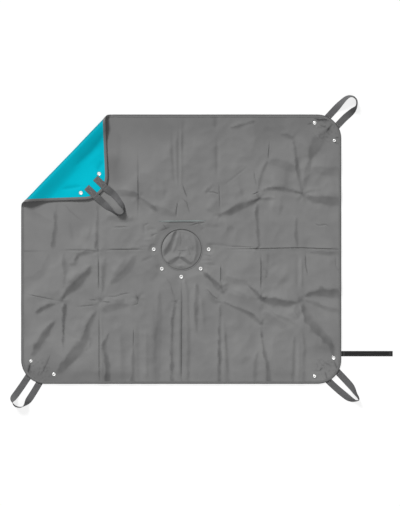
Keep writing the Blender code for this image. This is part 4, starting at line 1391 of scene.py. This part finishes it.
def handle_loop(corner):
    """The free loop of a handle, which drops from its tails to the floor or onto the face."""
    base = corner.edge + HANDLE_AXIS_OUT * corner.out
    flat = np.array([[base.x, base.y, WEBBING_THICKNESS / 2]])
    flat_tip = flat + np.array([corner.out * 0.01])
    axis, tip = Vector(corner.place(flat)[0]), Vector(corner.place(flat_tip)[0])
    out = Vector((tip.x - axis.x, tip.y - axis.y, 0)).normalized()
    over = out.cross(UP)
    start_low = axis.z - WEBBING_THICKNESS / 2
    rest_low = FACE_HIGH + GAP if corner.turned else start_low
    ground = Vector((axis.x, axis.y, 0))
    reach, half = HANDLE_REACH - HANDLE_AXIS_OUT, STRAND_SPACING / 2
    path = []
    for far, aside, edge in smooth_path([Vector(s) for s in corner.loop_shares], LOOP_STEPS):
        drop = float(soft_step(far, 0, LOOP_DROP_SHARE))
        low = start_low + (rest_low - start_low) * drop
        turn = min(max(edge, 0), 1) * math.pi / 2
        path.append((ground + out * reach * far + over * half * aside, low, turn))
    return ribbon(
        f"{corner.name}_handle_loop", path, WEBBING_WIDTH, WEBBING_THICKNESS, out, -out, webbing,
        tongues="start and end",
    )


def handle_tail(corner, number, aside):
    """A sewn end of a handle, on the floor under the mat or on top of the turned corner."""
    points, across, along = [], [], []
    for k in range(TAIL_STEPS + 1):
        far = -TAIL_LENGTH + (TAIL_LENGTH + TAIL_OUT) * k / TAIL_STEPS
        hem = 1.0 if far < -TAIL_LENGTH + TAIL_HEM else PLAIN_TAIL_SHARE
        for w, t in RIBBON_SHARES:
            x, y = corner.near(far, aside + w * WEBBING_WIDTH)
            depth = 0.5 - THIN_SHARE * t if k == TAIL_STEPS else hem * (0.5 - t)
            droop = float(turned_droop(corner.outside(x, y))) if corner.turned else 0.0
            points.append((x, y, WEBBING_THICKNESS * (1 - depth) + droop))
            across.append(w * WEBBING_WIDTH)
            along.append(far)
    faces = ring_faces(TAIL_STEPS + 1, len(RIBBON_SHARES))
    shape = corner.place(np.array(points)), faces, {"across": across, "along": along}
    return new_solid(f"{corner.name}_handle_tail_{number}", shape, webbing)


for corner in CORNERS:
    piece = handle_loop(corner)
    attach(piece, f"handle_{corner.name}")
    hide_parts(f"handle_{corner.name}_loop")
    for number, aside in enumerate((-STRAND_SPACING / 2, STRAND_SPACING / 2), start=1):
        piece = handle_tail(corner, number, aside)
        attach(piece, corner.body)
        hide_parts(f"handle_{corner.name}_tail_{number}")

# The snaps. Nickel-plated press studs and sockets: two on each corner, and five round the lower
# half of the hole that hold the hatch's flap. Each is turned from a profile.

SNAP_CAP_RADIUS = 0.0075
SNAP_CAP_RISE = 0.0021
SNAP_POST_RADIUS = 0.0034
SNAP_SPREAD = 0.099
SNAP_SHARP = 50.0

# A cap from its middle to its rim, as shares of its radius and of its rise, and what stands on
# the cloth on the other side, as radii and heights over the cloth
CAP_SHARES = (
    (0.00, 1.00), (0.35, 0.98), (0.62, 0.88), (0.80, 0.66), (0.88, 0.60), (0.95, 0.66),
    (1.00, 0.35), (0.97, 0.00),
)
STUD_PROFILE = (
    (0.0060, 0), (0.0062, 0.0003), (0.0058, 0.0005), (0.0040, 0.0004), (0.0026, 0.0007),
    (0.0016, 0.0013), (0.0019, 0.0020), (0.0017, 0.0024), (0.0010, 0.0026), (0, 0.0026),
)
SOCKET_PROFILE = (
    (0.0058, 0), (0.0060, 0.0004), (0.0058, 0.0016), (0.0052, 0.0023), (0.0044, 0.0024),
    (0.0038, 0.0019), (0.0030, 0.0019), (0.0024, 0.0022), (0.0022, 0.0020), (0.0022, 0.0003),
    (0, 0.0003),
)


def lathed(profile, sides=40):
    """A turned solid's points and faces, from (radius, level) that start and end on its axis."""
    points, rows = [], []
    for radius, level in profile:
        if radius == 0:
            rows.append([len(points)])
            points.append((0.0, 0.0, level))
        else:
            rows.append([len(points) + i for i in range(sides)])
            points += [(x, y, level) for x, y in ring(radius, sides)]
    faces = []
    for a, b in zip(rows, rows[1:]):
        for i in range(sides):
            j = (i + 1) % sides
            if len(a) == 1:
                faces.append((a[0], b[i], b[j]))
            elif len(b) == 1:
                faces.append((a[i], a[j], b[0]))
            else:
                faces.append((a[i], a[j], b[j], b[i]))
    return np.array(points), faces


def cap_points(base, rise):
    return [(SNAP_CAP_RADIUS * r, base + rise * h) for r, h in CAP_SHARES]


snap_metal = Finish("nickel_plate", Metallic=1.0)
# Painted shade at the rims and in the bores, as much as each point carries
snap_metal.set(
    Base_Color=snap_metal.blend(
        (0.80, 0.80, 0.79, 1.0), grey(0.05), snap_metal.carried("crease")
    ),
    Roughness=0.18 + snap_metal.cloud(scale=300.0) * 0.18,
)


def snap_piece(name, profile, place_on):
    """A half of a snap, lathed upright and then put in place.

    Its rim and its bore carry painted shade.
    """
    points, faces = lathed(profile)
    radius = np.hypot(points[:, 0], points[:, 1])
    rim = soft_step(radius, 0.86 * SNAP_CAP_RADIUS, 0.93 * SNAP_CAP_RADIUS)
    knob = (radius < 0.8 * SNAP_POST_RADIUS) & (points[:, 2] > FACE_HIGH)
    rim_and_bore_shade = {"crease": np.maximum(rim, 0.6 * knob)}
    return new_solid(name, (place_on(points), faces, rim_and_bore_shade), snap_metal, sharp=SNAP_SHARP)


for corner in CORNERS:
    back, aside = corner.snaps
    for kind, shift, upper in (
        ("stud", -SNAP_SPREAD / 2, STUD_PROFILE),
        ("socket", SNAP_SPREAD / 2, SOCKET_PROFILE),
    ):
        x, y = corner.near(-back, aside + shift)
        lift, _ = relief([x], [y])
        below, above = LINING_LOW - GAP, FACE_HIGH + GAP
        profile = [
            *cap_points(below, -SNAP_CAP_RISE), (SNAP_POST_RADIUS, below),
            (SNAP_POST_RADIUS, above), *[(radius, above + height) for radius, height in upper],
        ]

        def on_corner(points, corner=corner, at=(x, y, float(lift[0]))):
            return corner.place(points + np.array(at))

        piece = snap_piece(f"{corner.name}_snap_{kind}", profile, on_corner)
        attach(piece, corner.body)
        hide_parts(f"{corner.body}_snap_{kind}")

# The hatch. A grey flap under the hole, sewn on above it, bound round its free edge and held by
# five snaps. Its cloth shows through the hole, crumpled.

HATCH_HALF_WIDTH = 0.120
HATCH_CORNER_RADIUS = 0.028
SEAM_HEIGHT = 0.100
FLAP_LOW, FLAP_HIGH = 0.0008, 0.0013
HATCH_BINDING_START = 70.0
SAG_RADIUS, SAG_SLOPE = 0.060, 0.012
HATCH_AXIS_Y = 0.09895
SEAM_ALLOWANCE = 0.012
SEAM_STANDOFF = 0.0012
FLAP_RISE_LIMIT = 0.0065
FLAP_SLACK, FLAP_SLACK_LOST = 0.014, 0.0095
FLAP_LATTICE_STEP = 0.0030
ALLOWANCE_LATTICE_STEP = 0.0040

# The flap's folds, soft creases and slanting faces, in the same terms as the sheet's
FLAP_FOLDS = (
    (0.8, 0.8, 0.18, (179.8, 228), (181.4, 240), (180.0, 250)),
    (1.0, 0.7, 0.30, (176, 249.5), (181, 251.5), (189, 250)),
    (0.9, 0.7, 0.30, (181, 251), (179, 258)),
    (1.0, 0.7, 0.40, (162, 233), (166, 229), (170, 232)),
    (0.9, 0.7, 0.35, (164, 228), (169, 234)),
)
FLAP_CREASES = (
    (2.2, 2.4, 0.0, (184, 233), (190, 242), (193, 252)),
    (1.8, 2.0, 0.0, (178.5, 232), (176, 244), (172, 254)),
    (1.6, 2.4, 0.0, (180, 264), (180, 269)),
    (1.4, 1.2, 0.0, (186, 246), (190, 256)),
)
FLAP_SLOPES = (
    (0.26, 0.50, (176.6, 228, 0.8), (173, 239, 1.8), (169, 248, 3.0), (163, 254, 2.4),
     (158, 256, 1)),
    (0.22, 0.42, (180.2, 256.6, 0.6), (175.6, 259.4, 2.2), (170.6, 262.4, 2.6), (166.6, 265.6, 1)),
    (0.22, 0.60, (179.4, 257, 0.6), (183.6, 259, 2.4), (188.4, 262.4, 2.2), (192, 264, 1)),
    (0.18, 0.30, (194, 232, 0.8), (197, 242, 1.6), (197.4, 254, 1.6), (194, 264, 0.8)),
)


def arc(centre, radius, start, end, steps):
    turns = [math.radians(start + (end - start) * i / steps) for i in range(steps + 1)]
    return [(centre[0] + radius * math.cos(t), centre[1] + radius * math.sin(t)) for t in turns]


def hatch_path(inset, start):
    """The flap's free edge at an inset: down one side, round below the hole and up again."""
    corner_x = HATCH_HALF_WIDTH - HATCH_CORNER_RADIUS
    corner_y = SEAM_HEIGHT - HATCH_CORNER_RADIUS
    small, large = HATCH_CORNER_RADIUS - inset, HATCH_HALF_WIDTH - inset
    right = arc((corner_x, corner_y), small, start, 0, 12)
    below = arc((0, 0), large, 0, -180, 72)
    left = arc((-corner_x, corner_y), small, 180, 180 - start, 12)
    side = [(large, corner_y * (1 - k / 10)) for k in range(1, 10)]
    other = [(-x, y) for x, y in side[::-1]]
    return right + side + below + other + left


def flap_relief(x, y):
    """The flap's crumples and their painted shade.

    It has room to rise only inside the hole, where it also sags.
    """
    rise, dark = creased(x, y, FLAP_SLOPES, FLAP_FOLDS, FLAP_CREASES)
    rise += 0.0026 + 0.0012 * cloudiness(x, y, 0.035, 2.2) + 0.0005 * cloudiness(x, y, 0.014, 4.4)
    middle_gap = np.hypot(x, y)
    slack = FLAP_SLACK - FLAP_SLACK_LOST * flap_against(x, y)
    room = 1 - soft_step(middle_gap, HOLE_RADIUS - slack, HOLE_RADIUS - 0.0005)
    sag = FLAP_LOW * (1 - soft_step(middle_gap, SAG_RADIUS, SAG_RADIUS + SAG_SLOPE))
    return np.clip(rise, 0, FLAP_RISE_LIMIT) * room - sag, dark * room


flap_outline = hatch_path(CLOTH_INSET, 90)
flap_plan = cloth_plan(flap_outline, [], FLAP_LATTICE_STEP)
flap = cloth_piece("hatch_flap_cloth", flap_plan, FLAP_LOW, FLAP_HIGH, grey_cloth, flap_relief)
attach(flap, "hatch")
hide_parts("hatch_flap")
abs(area_of(flap_outline))


def flap_edge(inset):
    return hatch_path(inset, HATCH_BINDING_START)


def level_rise(x, y):
    """No relief and no painted shade."""
    return np.zeros(len(x)), np.zeros(len(x))


shape = swept(flap_edge, tape_section(FLAP_LOW, FLAP_HIGH, BINDING_WIDTH), level_rise)
flap_tape = new_solid("hatch_flap_tape", shape, binding_tape)
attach(flap_tape, "hatch")
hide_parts("hatch_binding")

half = HATCH_HALF_WIDTH - HATCH_CORNER_RADIUS - GAP
low = HATCH_AXIS_Y + SEAM_STANDOFF
high = low + SEAM_ALLOWANCE
allowance_plan = cloth_plan(
    [(-half, low), (half, low), (half, high), (-half, high)], [], ALLOWANCE_LATTICE_STEP
)
allowance = cloth_piece(
    "hatch_seam_cloth", allowance_plan, FLAP_LOW, LINING_LOW - GAP, grey_cloth, level_rise
)
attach(allowance, "mat")
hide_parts("hatch_seam_allowance")

# The rib of lining cloth that shows along the seam, between two places in the picture. Its
# section is in shares of its half width and of its thickness.
SEAM_RIB_ENDS = ((158.5, 221.4), (206, 220.8))
SEAM_RIB_HALF_WIDTH = 0.0021
SEAM_RIB_THICKNESS = 0.0009
SEAM_RIB_STEPS = 90
RIB_SHARES = (
    (-1.0, 0.05), (-0.8, 0.6), (-0.3, 0.95), (0.3, 0.95), (0.8, 0.6), (1.0, 0.05), (0.0, 0.05),
)


def seam_rib():
    """A narrow rib that lies on the face and tapers towards both ends."""
    start, end = (spot(*p) for p in SEAM_RIB_ENDS)
    rings = []
    for k, (x, y) in enumerate([*points_between(start, end, SEAM_RIB_STEPS), end]):
        from_end = min(k, SEAM_RIB_STEPS - k) / SEAM_RIB_STEPS
        half = SEAM_RIB_HALF_WIDTH * min(1, 0.3 + 4 * from_end)
        ys = [y + half * w for w, _ in RIB_SHARES]
        lift, _ = relief([x] * len(ys), ys)
        levels = [FACE_HIGH + SEAM_RIB_THICKNESS * t + up for (_, t), up in zip(RIB_SHARES, lift)]
        rings += [(x, *place) for place in zip(ys, levels)]
    count, size = SEAM_RIB_STEPS + 1, len(RIB_SHARES)
    along = np.repeat(np.linspace(0, end[0] - start[0], count), size)
    across = np.tile([SEAM_RIB_HALF_WIDTH * w for w, _ in RIB_SHARES], count)
    return rings, ring_faces(count, size), {"along": along, "across": across}


rib_finish = stitched_tape(
    "grey_teal_seam_rib", (0.190, 0.222, 0.218, 1.0), (0.290, 0.300, 0.300, 1.0), row=0.0
)
rib = new_solid("hatch_seam_rib", seam_rib(), rib_finish)
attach(rib, "mat")

# The five snaps: a stud half through the flap, and a capped socket half through the mat
stud_top = FLAP_HIGH + 0.0021
flap_stud = [
    (0, 0.0), (0.0050, 0.0), (0.0060, 0.0002), (0.0060, FLAP_LOW - GAP), (0.0019, FLAP_LOW - GAP),
    (0.0016, FLAP_HIGH + 0.0006), (0.0019, FLAP_HIGH + 0.0013), (0.0016, stud_top - 0.0002),
    (0.0010, stud_top), (0, stud_top),
]
below, above = LINING_LOW - GAP, FACE_HIGH + GAP
mat_socket = [
    (0, stud_top + GAP), (0.0022, stud_top + GAP), (0.0022, below - 0.0003),
    (0.0026, below - 0.0005), (0.0058, below - 0.0005), (0.0060, below - 0.0003), (0.0060, below),
    (SNAP_POST_RADIUS, below), (SNAP_POST_RADIUS, above),
    *cap_points(above, SNAP_CAP_RISE)[::-1],
]
for number, place in enumerate(hatch_snap_places(), start=1):
    for kind, profile, body in (("cap", mat_socket, "mat"), ("stud", flap_stud, "hatch")):

        def by_hole(points, place=place):
            return points + np.array([*place, 0.0])

        piece = snap_piece(f"hatch_{kind}_{number}", profile, by_hole)
        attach(piece, body)
        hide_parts(f"hatch_snap_{number}_{kind}")

# The closure strap. Black hook and loop tape that ties the folded mat, sewn under the right edge.
# It lies straight out on the floor.

STRAP_WIDTH = 0.020
STRAP_THICKNESS = 0.0012
STRAP_LENGTH = 0.191
STRAP_TAIL = 0.015
STRAP_TAIL_OUT = 0.00125
STRAP_FROM_CORNER = 0.113
STRAP_AXIS_OUT = 0.00232
STRAP_STEPS = 40

strap_tape = ribbed_webbing(
    "black_hook_and_loop",
    colour=grey(0.020),
    pitch=0.0016,
    thread=grey(0.050),
    box_middle=STRAP_LENGTH / 2,
    box_length=STRAP_LENGTH / 2 - 0.006,
    box_width=0.42 * STRAP_WIDTH,
)
strap_y = -MAT_DEPTH / 2 + STRAP_FROM_CORNER
strap_low = WEBBING_THICKNESS - STRAP_THICKNESS
rightwards = Vector((1, 0, 0))
for name, node, body, begin, stop, tongues in (
    (
        "closure_strap_free", "closure_strap", "closure_strap",
        STRAP_AXIS_OUT, STRAP_AXIS_OUT + STRAP_LENGTH, "start",
    ),
    (
        "closure_strap_sewn_end", "closure_strap_tail", "corner_bottom_right",
        -STRAP_TAIL, STRAP_TAIL_OUT, "",
    ),
):
    shares = [k / STRAP_STEPS for k in range(STRAP_STEPS + 1)]
    places = [Vector((MAT_WIDTH / 2 + begin + (stop - begin) * s, strap_y, 0)) for s in shares]
    path = [(place, strap_low, 0) for place in places]
    piece = ribbon(
        name, path, STRAP_WIDTH, STRAP_THICKNESS, rightwards, rightwards, strap_tape, tongues
    )
    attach(piece, body)
    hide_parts(node)
